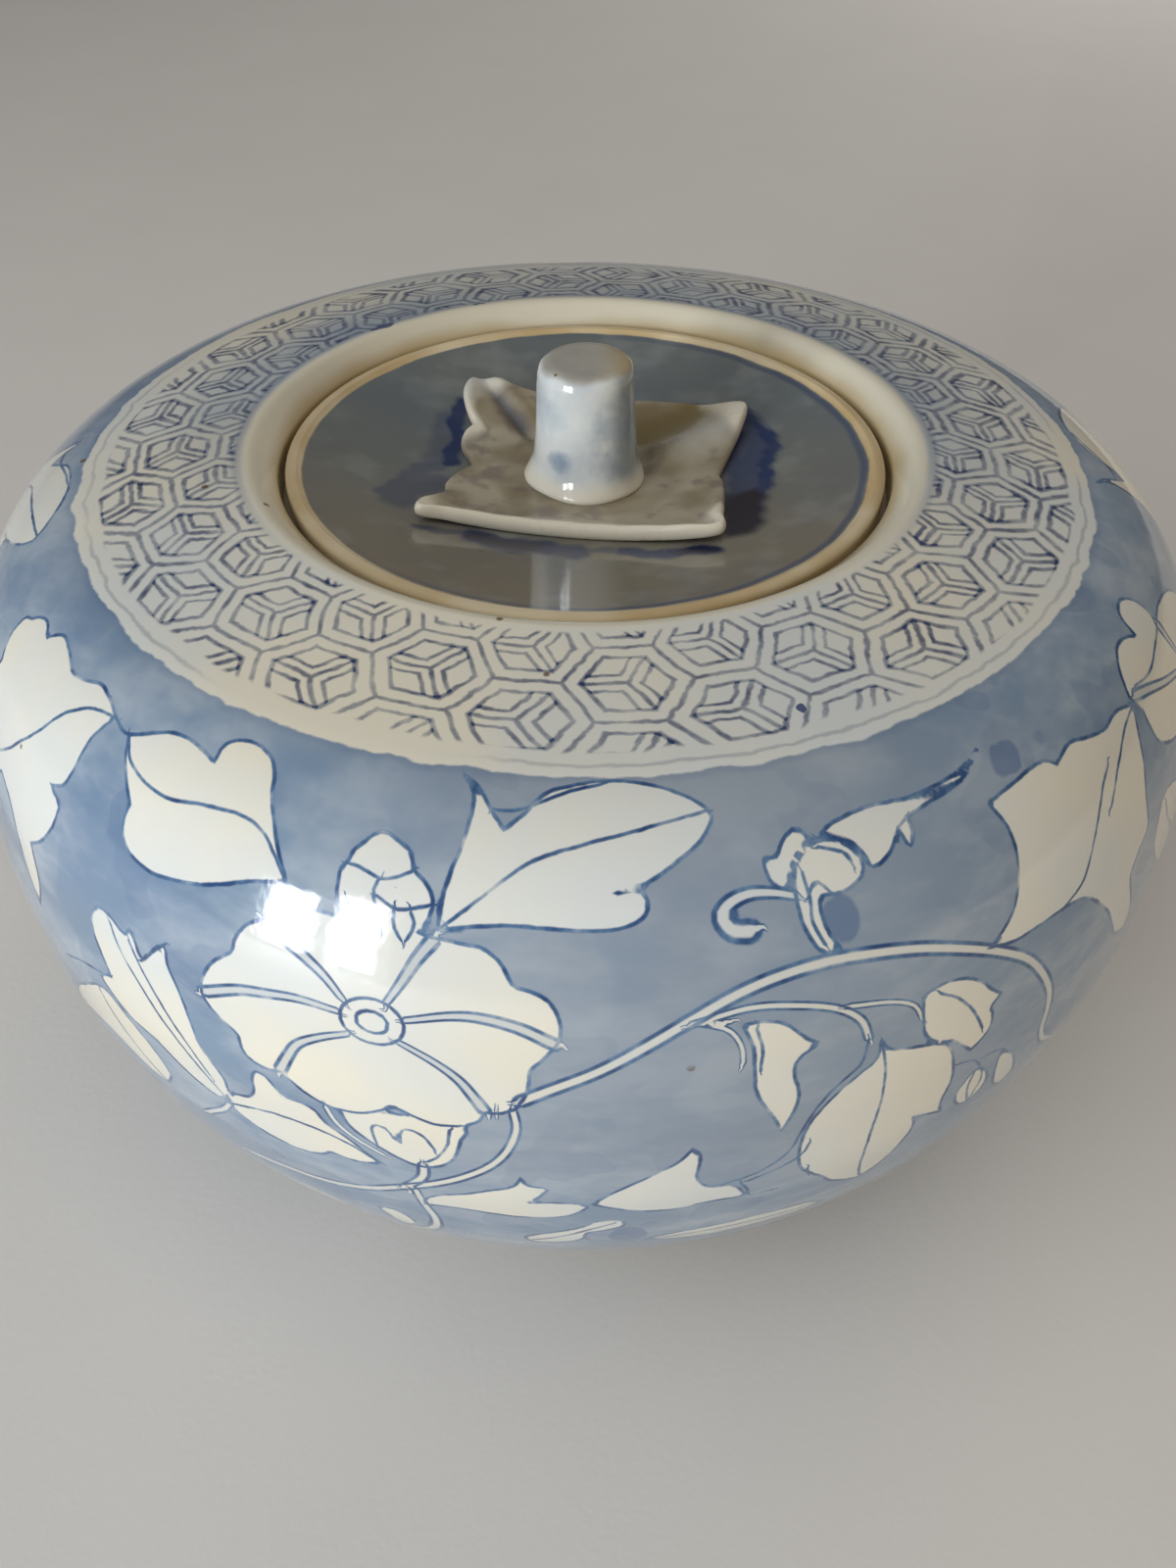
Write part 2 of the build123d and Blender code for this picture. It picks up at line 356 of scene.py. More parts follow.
# %% Motifs of the front
RING = [(-14.35 + 1.2 * math.cos(a), 63.8 + 1.75 * math.sin(a)) for a in np.arange(0, 6.9, 0.55)]
COLLAR = [(-14.35 + 2.35 * math.cos(a), 63.8 + 3.7 * math.sin(a)) for a in np.arange(0, 6.9, 0.55)]
FLOWER = dict(
    white=[[
        [(-10.2, 50.3), (-8, 50.7), (-6.7, 51), (-5.5, 52.6), (-4.5, 55.8)],
        [(-3.3, 56.2), (-2, 57.6), (-1.3, 60.5), (-1.4, 63.5), (-2.5, 66.4), (-3.4, 68.8)],
        [(-3.5, 71.5), (-3.7, 73.5), (-4.4, 76.2)],
        [(-5.6, 77.3), (-6.6, 77.2)],
        [(-7, 79.2), (-8.4, 81), (-10.2, 81.4), (-11.7, 80.5), (-13.3, 79.1)],
        [(-14.2, 80.6), (-15.8, 82.4), (-18, 83), (-20, 81.6), (-22, 78.5)],
        [(-23.3, 79.1), (-24.6, 78.4), (-25.2, 76.8), (-25.3, 74.2)],
        [(-26.4, 72.9), (-27.6, 71.2), (-28.3, 68.6)],
        [(-27.9, 65.5), (-26.9, 62.2), (-25.3, 59.4)],
        [(-25.1, 57), (-24.3, 54.7), (-23, 53.2)],
        [(-21.5, 50.8), (-18.8, 49.9), (-15.8, 50.4), (-13, 51.4)],
        [(-11.6, 50.2)],
    ]],
    petals=[
        [(-16.9, 63.3), (-19.8, 63.1), (-22.4, 64), (-25, 65.4), (-28, 68.5)],
        [(-16.2, 66.8), (-18.3, 68.8), (-20.2, 71.5), (-21.2, 74.8), (-22, 78.2)],
        [(-12.4, 66.3), (-10.2, 68.6), (-8.4, 71.4), (-7.3, 74.6), (-6.6, 77)],
        [(-11.9, 62.4), (-9, 60.8), (-6.7, 60.5), (-4, 61.6), (-1.6, 63.9)],
        [(-13.3, 60.3), (-12.3, 57), (-11.3, 53.5), (-10.3, 50.8)],
        [(-16.4, 61.4), (-18, 58.4), (-20.3, 55.8), (-22.8, 53.5)],
    ],
    lines=[RING, COLLAR],
)
BUD_BELOW = dict(
    white=[[
        [(-17.5, 81.5), (-17.2, 85.5), (-16.3, 88), (-15, 90.1), (-13.7, 91.8), (-12.2, 93.2), (-10.9, 92.8),
         (-9.6, 90.9), (-8.9, 88), (-8.5, 84.7), (-8.6, 80.5)],
    ]],
    lines=[
        [(-17.9, 83), (-16, 82.5), (-14.2, 80.6), (-13.3, 79.1), (-11.7, 80.5), (-10.2, 81.4), (-8.4, 81)],
        [(-15, 89.7), (-15.2, 86.5), (-14.9, 84.5), (-14, 84.8), (-13.6, 86.8), (-13.1, 87.8), (-13, 85.5),
         (-12.4, 83.8), (-11.3, 84.7), (-10.7, 86.9), (-10.4, 88.6)],
        [(-9.2, 82), (-9.5, 86), (-10.3, 89.5), (-11.2, 91.6)],
    ],
    stems=[([(-18.6, 83.5), (-18, 86.8), (-16.6, 89.8), (-14.6, 92.3)], (0.5, 0.4))],
)
CROWN = dict(
    white=[[
        [(-17.8, 43.8), (-17.3, 42.8), (-17.1, 41.3), (-16.4, 39.8), (-15.7, 38.6), (-14.9, 38.2),
        (-13.8, 39)],
        [(-12.7, 40), (-12.3, 42.2)],
        [(-11.2, 43.5), (-10.5, 45.7), (-10.7, 48), (-11.4, 50.1), (-12.6, 51.6)],
        [(-14.6, 51.4), (-16.7, 50.1), (-17.6, 47.6)],
    ]],
    lines=[
        [(-17.2, 42.9), (-16.2, 43.1), (-14.8, 43.9), (-13.6, 43.5), (-12.4, 42.4)],
        [(-14.7, 43.9), (-15, 46), (-14.4, 48.5), (-14.1, 50.5)],
        [(-14.6, 46.2), (-13.2, 47.4), (-12, 47), (-10.6, 46.2)],
        [(-13.3, 47.4), (-13.2, 49.5), (-12.6, 51.4)],
        [(-12.1, 47.2), (-11.7, 49.2), (-12.1, 51)],
        [(-16.9, 47.4), (-16.3, 49.2), (-15.2, 51)],
    ],
)
LEAF_UPPER_LEFT = dict(
    white=[[
        [(-40.4, 38.8), (-38.7, 37.2), (-37, 35.7), (-35, 35), (-32.8, 35.6), (-31.2, 36.4)],
        [(-31.4, 34.5), (-31, 33), (-30, 32), (-28.5, 31.8), (-26.8, 32.7), (-25.7, 34.6), (-25, 37.6),
         (-24, 40.5), (-23, 43.8), (-21.6, 47.6)],
        [(-23.3, 48.2), (-25, 49.2), (-27.6, 51.3), (-30, 52.7), (-33.3, 53.8), (-35.7, 53), (-37, 51),
         (-37.2, 48.4), (-37, 46.8)],
        [(-38.2, 44.2), (-39.4, 41.7)],
    ]],
    lines=[
        [(-40.4, 38.8), (-38.9, 41.4), (-36.7, 42.8), (-33.7, 43.2), (-30.7, 42), (-27.6, 41.2),
        (-25.4, 41.6),
         (-23.6, 43.6), (-21.7, 47.4)],
        [(-45, 36.2), (-43, 37.8), (-41.5, 38.7), (-40.4, 38.8)],
    ],
)
LEAF_LEFT = dict(
    white=[[
        [(-38.5, 64), (-39.6, 66.3), (-39.9, 69.7), (-39.6, 73), (-38.7, 77.7)],
        [(-40.2, 80.1), (-38.9, 83), (-37.2, 85.5), (-34.8, 86.8), (-33.3, 89.3), (-31.5, 91.8),
        (-29.3, 93.4),
         (-28, 91.2)],
        [(-27.8, 87.2), (-28.4, 84.4), (-29.4, 81), (-29.9, 76.5), (-30.6, 71), (-31.3, 67), (-31.4, 63.4)],
        [(-32.4, 64.9), (-33.3, 67.2), (-34.3, 69.4)],
        [(-34.6, 66.3), (-34.8, 63.6)],
        [(-35.9, 66), (-37.2, 64.6)],
    ]],
    lines=[
        [(-37.4, 65.5), (-36.5, 70.5), (-34.1, 77.2), (-31.5, 83.8), (-29.4, 89.7), (-28.3, 92.8)],
        [(-35.4, 66.5), (-34.4, 71), (-32.6, 77), (-30.6, 83), (-29.2, 88.4)],
        [(-31.4, 63.4), (-32.6, 65.6), (-34.3, 69.4)],
        [(-46, 84), (-43.5, 81.2), (-41, 79.6), (-38.8, 78.2)],
    ],
)
LEAF_LOWER = dict(
    white=[[
        [(-28.3, 93.8), (-27.4, 90.1), (-25.9, 88.8), (-25, 86.3), (-24.8, 83), (-24.3, 80.9), (-23.3, 81.3),
         (-22.3, 84.8)],
        [(-20.8, 84.3), (-19.6, 85.1)],
        [(-18.9, 88), (-17.2, 90.5), (-16.1, 93), (-15, 95.1)],
        [(-17.2, 96.3), (-19.3, 95.9)],
        [(-20.2, 97.6), (-22.4, 98.7), (-25, 98), (-27.2, 95.9)],
    ]],
    lines=[[(-28.3, 93.8), (-25.9, 91.8), (-23.3, 90.3), (-19.8, 90.3), (-17.2, 92), (-15.1, 95)]],
    stems=[([(-28.2, 93.8), (-29.3, 97), (-30.8, 100), (-32, 102.5)], (0.5, 0.6))],
)
LEAF_TOP = dict(
    white=[[
        [(-10.2, 28.4), (-8.9, 30.8), (-8.6, 34), (-9, 38.5), (-9.7, 43.5), (-10, 49.3)],
        [(-7.6, 48.3), (-5, 47.7), (-1.9, 47.8), (0.2, 48), (2.8, 47.8), (4.4, 46.5), (4.8, 44.5),
        (3.9, 42.6),
         (2.4, 43.5)],
        [(4.4, 42.5), (7, 40), (9.1, 37.5), (10.4, 34.8)],
        [(9.8, 33), (8, 31), (6, 29.5), (3.6, 28.7), (1.2, 28.7), (-0.8, 29.3), (-2.9, 30.6), (-4.3, 33.2),
         (-5.9, 36)],
        [(-7.3, 33), (-8.6, 30.2)],
    ]],
    lines=[
        [(-10, 49.3), (-7.6, 45.3), (-5.4, 41.8), (-3.3, 39.3), (0, 37.4), (5.5, 35.2), (9.9, 33.8)],
        [(-6.8, 33.4), (-5.2, 33.2), (-3.9, 32.4), (-1, 30.2), (2, 28.9)],
    ],
)
SCROLL_BUD = dict(
    white=[
        [[(15.8, 49.5), (15.6, 46), (15.8, 43), (16.8, 40.8), (18.2, 39.9), (19.8, 40.6), (21, 43),
        (20.8, 45.6),
          (19, 47), (17.5, 46.8), (17.3, 49), (17.7, 51.8), (18.5, 54.3)], [(17.2, 54.3), (16.3, 52)]],
        [[(18.3, 39.3), (20, 37.9), (23.2, 37.3), (27, 37.8), (31.5, 37.2), (34.6, 35.6)],
         [(31.5, 38.4), (28.3, 39.2), (25.7, 40.1)], [(25.9, 42), (25.2, 43.8), (24.8, 41)],
         [(23.4, 43.8), (21.9, 44.9), (21.4, 43), (20.6, 40.9), (19.4, 40)]],
        [[(13.6, 40.6), (14.6, 40.8), (15.4, 38.9), (16.6, 37.6)], [(17.3, 39.4), (16.2, 41),
        (15.3, 43.2), (15.2, 45)],
         [(14.2, 44.6), (13.7, 43)]],
    ],
    lines=[
        [(16.5, 46.5), (17.2, 44.8), (18.2, 46.4)], [(16.3, 43), (16.6, 47), (16.6, 50), (17.4, 53.5)],
        [(18, 40.6), (19.8, 42), (20.4, 44)], [(18.3, 39.3), (20.6, 41.3), (21.6, 44)],
        [(25.7, 40.1), (24.8, 41)],
    ],
    stems=[([(15.7, 46.2), (14, 45.2), (12.2, 44.8), (10.7, 45.6), (10, 47.2), (10.7, 49.2),
    (11.9, 49.6)], (0.5, 1.3))],
)
STEMS = dict(
    stems=[
        ([(-4, 74.5), (-1.9, 72), (1.3, 68.5), (4.4, 64.5), (7.5, 60.8), (10.6, 57.9), (13.8, 56.2),
        (17.4, 55.6),
          (21, 56.2), (24.7, 57.7), (28.3, 60.3), (31.5, 63.5), (34.6, 67.8), (36.7, 72.5), (38.5, 78.5),
          (39.4, 84), (39.9, 90), (41, 94.5), (43, 98)], (0.95, 0.75)),
        ([(-4.6, 76.4), (-4.4, 80.5), (-5.2, 86), (-6.6, 90.5), (-8.8, 94.6), (-11.2, 98), (-14, 101.5),
          (-16.4, 104.8), (-19, 107.6), (-22, 109.8), (-26, 111.5), (-30, 114)], (0.55, 1.0)),
        ([(-11.6, 93), (-11.8, 96), (-12.7, 98.8), (-13.6, 101)], (0.8, 0.7)),
        ([(-12.7, 101), (-12.4, 107), (-12, 113), (-12.4, 118.5), (-14, 124), (-17, 130)], (0.6, 1.1)),
        ([(7.6, 61.4), (11.5, 60), (15, 60.9), (18, 62.9), (19.9, 66), (20.7, 70)], (0.5, 0.6)),
        ([(8.6, 61.6), (10.2, 63), (11.1, 66), (11.3, 69.5)], (0.4, 0.35)),
        ([(18.8, 63), (22.1, 64.4), (24.2, 66.6), (25.1, 70)], (0.45, 0.35)),
    ],
    lines=[
        [(20.7, 70), (20.3, 74.5), (18.4, 78), (17.1, 82), (16.3, 87), (15.6, 91.5), (13.5, 95.3),
        (11, 96.9)],
        [(29.6, 84), (31.4, 85.5), (32.5, 88.5)], [(32.6, 86), (34, 86.6), (35, 88)],
        [(13, 97.2), (15.2, 95.4), (16.8, 93), (17.3, 90)],
        [(12.2, 97.4), (13, 100.3), (13.3, 102.8), (15.2, 102.7)],
    ],
)
LEAVES_FRONT = dict(
    white=[
        [[(11.1, 62.5), (11.9, 66), (12.2, 71), (12.4, 75), (13.3, 79), (14.1, 82), (14.7, 85)],
         [(15.4, 81), (15.6, 77), (15.1, 73), (15.4, 70.2), (16.9, 68.3)], [(15.7, 66.6), (14.3, 63.6),
         (12.7, 62.4)]],
        [[(1, 100), (2.8, 96), (5.4, 92), (7.2, 89), (8.3, 85.5)], [(8.8, 88.5), (8.7, 94)],
         [(9.7, 97), (11.7, 98), (12.6, 100.5), (13, 102.6)], [(10, 102.5), (7, 103.8), (3.9, 102.8)]],
        [[(-12.4, 107.2), (-12, 103.8), (-10.6, 101.3), (-8.5, 99.3), (-6.7, 97.2), (-5, 95.5), (-4.1, 92.2)],
         [(-3.8, 94.8), (-2.2, 95.2)], [(-3, 98), (-4.2, 100.8)], [(-2.6, 99.9), (-0.5, 99.8), (0.8, 100.8)],
         [(-0.2, 103.6), (-2, 105.6), (-5, 106.2), (-8.7, 105.6), (-11, 106)]],
        [[(21.7, 71), (21.6, 74.5), (20, 77), (18.4, 80), (17.1, 84), (16.6, 88), (16.6, 93), (17.1, 97),
          (18.2, 100), (19.5, 103), (20.5, 106), (22.1, 108.5), (23.8, 110.3)],
         [(25.2, 107.5), (26, 104), (26.6, 100), (26.9, 96.5), (26.5, 93.4)], [(28.3, 95), (29.6, 96.6)],
         [(29.1, 93), (29.4, 88), (29.1, 84), (28.3, 79), (27, 76.5), (24.7, 75), (22.6, 73.5)]],
        [[(24.9, 65.5), (25.1, 68.5), (25.5, 73), (26.8, 76), (28.3, 77.2), (29.4, 79.5), (30.6, 82)],
         [(31.9, 79), (32.1, 76)], [(31.7, 74), (32.6, 72.5)], [(31.5, 70.5), (30.4, 68), (28.9, 65.8),
         (27, 64.8)]],
        [[(31.5, 89.5), (30.7, 93), (31, 96), (32.1, 98), (33.5, 97), (34, 94), (33.3, 90.5), (32.2, 89)]],
        [[(34.6, 88), (34.7, 92), (35.3, 97), (36.7, 100.5)], [(37.8, 98), (37.4, 95), (36.4, 91)]],
    ],
    lines=[
        [(21.8, 71.5), (22.4, 77), (22.7, 85), (22.6, 93), (22.7, 99), (23.1, 105), (23.9, 110)],
        [(26.2, 66), (28.3, 69), (29.9, 73), (31.2, 78)], [(32, 89.6), (31.8, 93), (32.4, 97)],
        [(32.8, 89.6), (33.2, 93), (32.8, 97)], [(18, 100), (17.6, 97.6)], [(12.1, 63), (12.6, 67),
        (12.6, 71)],
    ],
)
LEAF_RIGHT = dict(
    white=[[
        [(33.1, 42.6), (34.2, 47), (34.3, 52), (33.4, 57.5), (32, 60.6), (30.6, 62)],
        [(33.1, 63.3), (36.2, 63.2), (38.9, 63.2), (40.9, 64), (42.5, 66), (44.1, 69), (45.6, 72.4),
        (47.2, 77.4),
         (48.4, 81), (51.4, 84.5)],
        [(50.8, 79), (49.3, 72), (48.9, 69), (49.8, 66), (51.3, 63), (51.1, 58), (51.9, 53), (52.4, 49),
        (53.4, 44.5)],
        [(50.8, 43), (48.2, 43.6), (45.6, 42.5), (43.5, 41.5), (41.2, 42.9)],
        [(39.9, 41.3), (36.4, 41.7)],
    ]],
    lines=[
        [(38.9, 63), (41, 61), (42.5, 57), (44.1, 53), (45.6, 49.8), (47, 48)],
        [(45.6, 54), (48.2, 49.4), (50.8, 46), (53.4, 44.5)],
    ],
)
FLOWER_RIGHT = dict(
    white=[[
        [(53.4, 43), (54.6, 39.4), (56.6, 37.2), (58.6, 37.5), (60.2, 39)],
        [(60.6, 35.6), (62.6, 34.2), (64.2, 35.6), (64.9, 38.6), (64.8, 41.6)],
        [(67.5, 41), (71, 42.5), (73.5, 46), (74, 50)], [(76.5, 52), (77.5, 57), (76, 62), (73.5, 64)],
        [(73.5, 68), (71, 71), (67.5, 70.5), (65.6, 67)], [(63, 66.5), (61, 63), (60.6, 59), (61, 57)],
        [(58, 55.8), (55.4, 53), (54.6, 49), (54.4, 46)],
    ]],
    petals=[
        [(64.5, 50.5), (60.5, 48), (57, 45.5), (54.5, 44)], [(65.6, 48.2), (65, 45), (64.8, 42)],
        [(68.2, 50), (71, 49.6), (73.8, 50)], [(68, 54.5), (70.6, 58.6), (73.2, 63.6)],
        [(65.8, 55.8), (65.4, 61), (65.6, 66.5)], [(64.4, 53.8), (62.6, 55.4), (61.2, 57)],
    ],
    lines=[
        [(66.3 + 1.1 * math.cos(a), 52.2 + 1.6 * math.sin(a)) for a in np.arange(0, 6.9, 0.7)],
        [(66.3 + 2.1 * math.cos(a), 52.2 + 3.4 * math.sin(a)) for a in np.arange(0, 6.9, 0.7)],
        [(55, 43), (58.5, 44), (61.5, 43), (64.5, 42)],
    ],
)
LEAF_FAR_RIGHT = dict(
    white=[[
        [(53.6, 67), (54.2, 63), (55.4, 61.6)], [(58, 63), (61.5, 68), (64.3, 75), (65.8, 82), (66.4, 90)],
        [(62.5, 87), (58.8, 82), (55.8, 76), (54, 71)],
    ]],
    lines=[[(55.2, 63), (57, 69), (60.5, 76), (64, 83), (66.2, 89)]],
)
LEAF_FAR_LEFT = dict(
    white=[[
        [(-42.8, 38), (-44.3, 36.8), (-46.7, 35.8), (-48.8, 37), (-50.8, 37.5), (-52.9, 36.2), (-55, 35.3),
         (-56.3, 36), (-57.2, 37.8)],
        [(-58.6, 36.5), (-60.2, 36.8), (-61.4, 38.6)],
        [(-62.3, 39.4), (-62.4, 43), (-61.3, 46.8)],
        [(-64, 53), (-67.5, 61), (-71.5, 70), (-75.5, 80), (-79, 90)],
        [(-74, 86), (-69, 79), (-64.5, 72), (-60, 65.6), (-55, 59.4)],
        [(-52.6, 62), (-51.2, 67), (-50.6, 72.5), (-49.4, 78)], [(-48.2, 72), (-48.2, 67), (-48.6, 64.5)],
        [(-46.8, 62), (-45.3, 58), (-44.7, 53.6)], [(-46.8, 52.4)], [(-45, 50.8), (-44.2, 47), (-43.9, 42)],
    ]],
    lines=[
        [(-42.8, 38), (-45.6, 39), (-48.2, 42), (-50.3, 47), (-52.4, 51), (-55, 55.5), (-60, 61.6), (-66, 70),
         (-72, 79), (-78, 88.6)],
    ],
)
LEAF_BOTTOM_LEFT = dict(
    white=[[
        [(-41.8, 84), (-40, 83.2), (-38, 86.5), (-36, 91), (-35, 96), (-36, 100.5)],
        [(-38.5, 101), (-41.5, 99), (-44.5, 98.4), (-50, 102)], [(-47.5, 94), (-44.5, 88.5)],
    ]],
    lines=[[(-41.4, 84.6), (-40.6, 90), (-39, 95), (-36.4, 100)]],
)
LOW_LEAVES = dict(
    white=[
        [[(5.2, 118.5), (8, 116), (11.7, 114.8), (15.8, 114.2), (19.5, 114.8), (21.4, 117.4)],
         [(20, 119.6), (16.9, 120.4), (10.6, 121)]],
        [[(1.3, 107.4), (3.2, 107), (3.6, 109.6), (2.2, 111.6), (0.6, 113.2), (0.3, 116.5), (-1.5, 119),
          (-3.8, 119.6), (-4.5, 116.6), (-2.4, 113.5), (0, 110.5)]],
        [[(-17.2, 114.6), (-15.6, 114), (-14.6, 116.5), (-14.4, 120), (-15.6, 124)], [(-16.6, 119)]],
    ],
    lines=[[(6, 118.4), (12, 117.4), (20.6, 117.2)], [(-3.6, 118), (-1.6, 115.4), (0.8, 111.4),
    (2.6, 108.6)]],
)
SIDE_BRANCH = dict(
    white=[
        [[(84, 88), (80, 84.5), (76, 79), (73, 72), (72.2, 65.5)], [(75, 68), (78.5, 69.2)],
         [(80, 67.5), (81.6, 70), (84.4, 78), (85, 84)]],
        [[(99.5, 81), (97, 86.5), (95.5, 93), (96.6, 99)], [(98, 98.5), (100.6, 108)], [(103, 102.5),
        (104.4, 97)],
         [(106.8, 96), (106, 90), (102.8, 84.5)]],
        [[(117, 101), (114.8, 104.5), (115, 108.5), (117.4, 111), (119.8, 108), (119.4, 103.5)]],
        [[(61, 110), (57.5, 105), (56.5, 99), (58.5, 93)], [(61, 96), (64, 95.6)], [(66, 100), (65, 105.5)]],
    ],
    lines=[
        [(84, 88), (81.4, 82), (78, 75), (73.6, 67.6)], [(99.6, 81.5), (100.4, 88), (100.4, 97),
        (100.6, 106)],
        [(117, 101.5), (116.8, 105), (117.3, 109.5)], [(61, 109.4), (60.2, 103), (59, 95.5)],
        [(118.3, 102.5), (118.4, 106), (118, 109)],
    ],
    stems=[
        ([(43, 98), (50, 106), (60, 110.5), (70, 106), (78, 96.5), (84, 88.5), (91, 82), (99, 80), (107, 84),
          (113, 92), (117, 100.5)], (0.8, 0.6)),
        ([(91, 82), (91.6, 76), (94.4, 71.5), (98, 71), (99.6, 74), (98, 76.6)], (0.45, 0.85)),
        ([(78, 96.5), (80.6, 101), (85, 104.5), (88.5, 109), (90, 116)], (0.45, 0.6)),
    ],
)
FRONT = [
    FLOWER, BUD_BELOW, CROWN, LEAF_UPPER_LEFT, LEAF_LEFT, LEAF_LOWER, LEAF_TOP, SCROLL_BUD, STEMS,
    LEAVES_FRONT,
    LEAF_RIGHT, FLOWER_RIGHT, LEAF_FAR_RIGHT, LEAF_FAR_LEFT, LEAF_BOTTOM_LEFT, LOW_LEAVES,
    SIDE_BRANCH,
]
print(len(FRONT), "motifs on the front")

# %% [markdown]
# ## The jar body
# The outline above is turned round the axis. Real thrown porcelain is never quite round: it keeps the
# faint spiral swells of the thrower's fingers, so the outside sinks by up to a third of a millimetre in
# slow waves. It only ever sinks, so the body stays within its measured size.

# %% Jar mesh
JAR_COLUMNS = 500
FRONT_CROWDING = 0.25
SWELL = 0.3

theta = columns(JAR_COLUMNS, FRONT_CROWDING)
depth = np.clip(along, 0, None)[:, None]
painted = ((along > 8) & (along < 175))[:, None]
swell = 0.25 * np.sin(2 * np.pi * depth / 19 + theta) + 0.25 * np.sin(2 * theta + 0.6) - 0.5
jar_radius = outline[:, :1] + painted * SWELL * swell * np.clip((depth - 8) / 20, 0, 1)
jar_points = place(jar_radius, outline[:, 1:], theta[None, :])
jar = closed_grid("jar_body_glazed", jar_points, theta, along, (0, 0, outline[0, 1]), (0, 0, outline[-1, 1]))

# %% [markdown]
# The front composition fills less than half of the wall, so the same hand repeats it on the other side,
# half a turn round and a little higher, and a loose run of leaves links the two lower down.

# %% Paint the jar
theta_of, depth_of = np.meshgrid(np.degrees(theta), along)
radius_of = np.broadcast_to(outline[:, :1], theta_of.shape)
brush = Brushwork(theta_of.ravel(), depth_of.ravel(), radius_of.ravel())
PETAL_WIDTH = (0.45, 0.85)


def paint(motif, shift=0.0, drop=0.0):
    """Draw one motif: its white shapes, its double petal lines, its thin lines and its stems."""
    for runs in motif.get("white", []):
        brush.reserve(runs, shift, drop)
    for points in motif.get("petals", []):
        brush.stroke(points, shift, drop, PETAL_WIDTH)
    for points in motif.get("lines", []):
        brush.stroke(points, shift, drop)
    for points, width in motif.get("stems", []):
        brush.stroke(points, shift, drop, width)


for motif in FRONT:
    paint(motif)
    paint(motif, 180.0, -1.5)
for motif, shift, drop in [
    (LEAF_TOP, 94, 1), (LEAF_TOP, 276, 1), (LEAF_LEFT, 128, 22), (LEAF_LEFT, 306, 24),
    (LOW_LEAVES, 44, 4), (LOW_LEAVES, 88, 8), (LOW_LEAVES, -42, 5), (LOW_LEAVES, -84, 7),
    (LOW_LEAVES, 136, 4),
    (LOW_LEAVES, 226, 6), (LEAF_LOWER, 68, 30), (LEAF_LOWER, 250, 28),
]:
    paint(motif, shift, drop)
shape = theta_of.shape
paint_on(jar, "white", brush.white.reshape(shape))
for kind, layers in (("pen", brush.pen), ("stem", brush.stem)):
    for number, (near, side) in enumerate(layers):
        paint_on(jar, f"{kind}_near_{number}", near.reshape(shape))
        paint_on(jar, f"{kind}_side_{number}", side.reshape(shape))
print("share of the wall left white", round(float((brush.white < 0).mean()), 2))

# %% [markdown]
# ## A short way to write shader maths
# A painted pattern is a formula. The small class below lets the formula be written as one: arithmetic on
# a Number adds a Math node for each sign. The helpers add the usual softened step, noise and mixing.

# %% Shader numbers
class Number:
    """The output of a shader node. Plus, minus, times and divide on it add Math nodes."""

    def __init__(self, tree, socket):
        self.tree, self.socket = tree, socket

    def math(self, operation, *others, clamp=False):
        node = self.tree.nodes.new("ShaderNodeMath")
        node.operation = operation
        node.use_clamp = clamp
        for socket, value in zip(node.inputs, (self, *others)):
            plug(self.tree, value, socket)
        return Number(self.tree, node.outputs[0])

    def __add__(self, other):
        return self.math("ADD", other)

    def __sub__(self, other):
        return self.math("SUBTRACT", other)

    def __mul__(self, other):
        return self.math("MULTIPLY", other)

    def __truediv__(self, other):
        return self.math("DIVIDE", other)

    def __abs__(self):
        return self.math("ABSOLUTE")

    def least(self, other):
        return self.math("MINIMUM", other)

    def most(self, other):
        return self.math("MAXIMUM", other)

    def rise(self, low, high):
        """Smooth step from 0 at low to 1 at high. With low above high it falls instead."""
        node = self.tree.nodes.new("ShaderNodeMapRange")
        node.interpolation_type = "SMOOTHSTEP"
        for name, value in (("Value", self), ("From Min", low), ("From Max", high)):
            plug(self.tree, value, node.inputs[name])
        return Number(self.tree, node.outputs[0])

    def line(self, half, soft=0.3):
        """1 on a line where this number crosses 0, half wide each side, with softened edges."""
        return 1.0 - abs(self).rise_by(half, soft)

    def rise_by(self, half, soft):
        """Smooth step about half: from 0 at half (1 - soft) to 1 at half (1 + soft)."""
        if isinstance(half, Number):
            return (self / half).rise(1 - soft, 1 + soft)
        return self.rise(half * (1 - soft), half * (1 + soft))

    def __rsub__(self, other):
        return (self * -1.0) + other


def plug(tree, value, socket):
    """Link a Number to a socket, or set the socket to a plain value."""
    if isinstance(value, Number):
        tree.links.new(value.socket, socket)
    else:
        socket.default_value = value


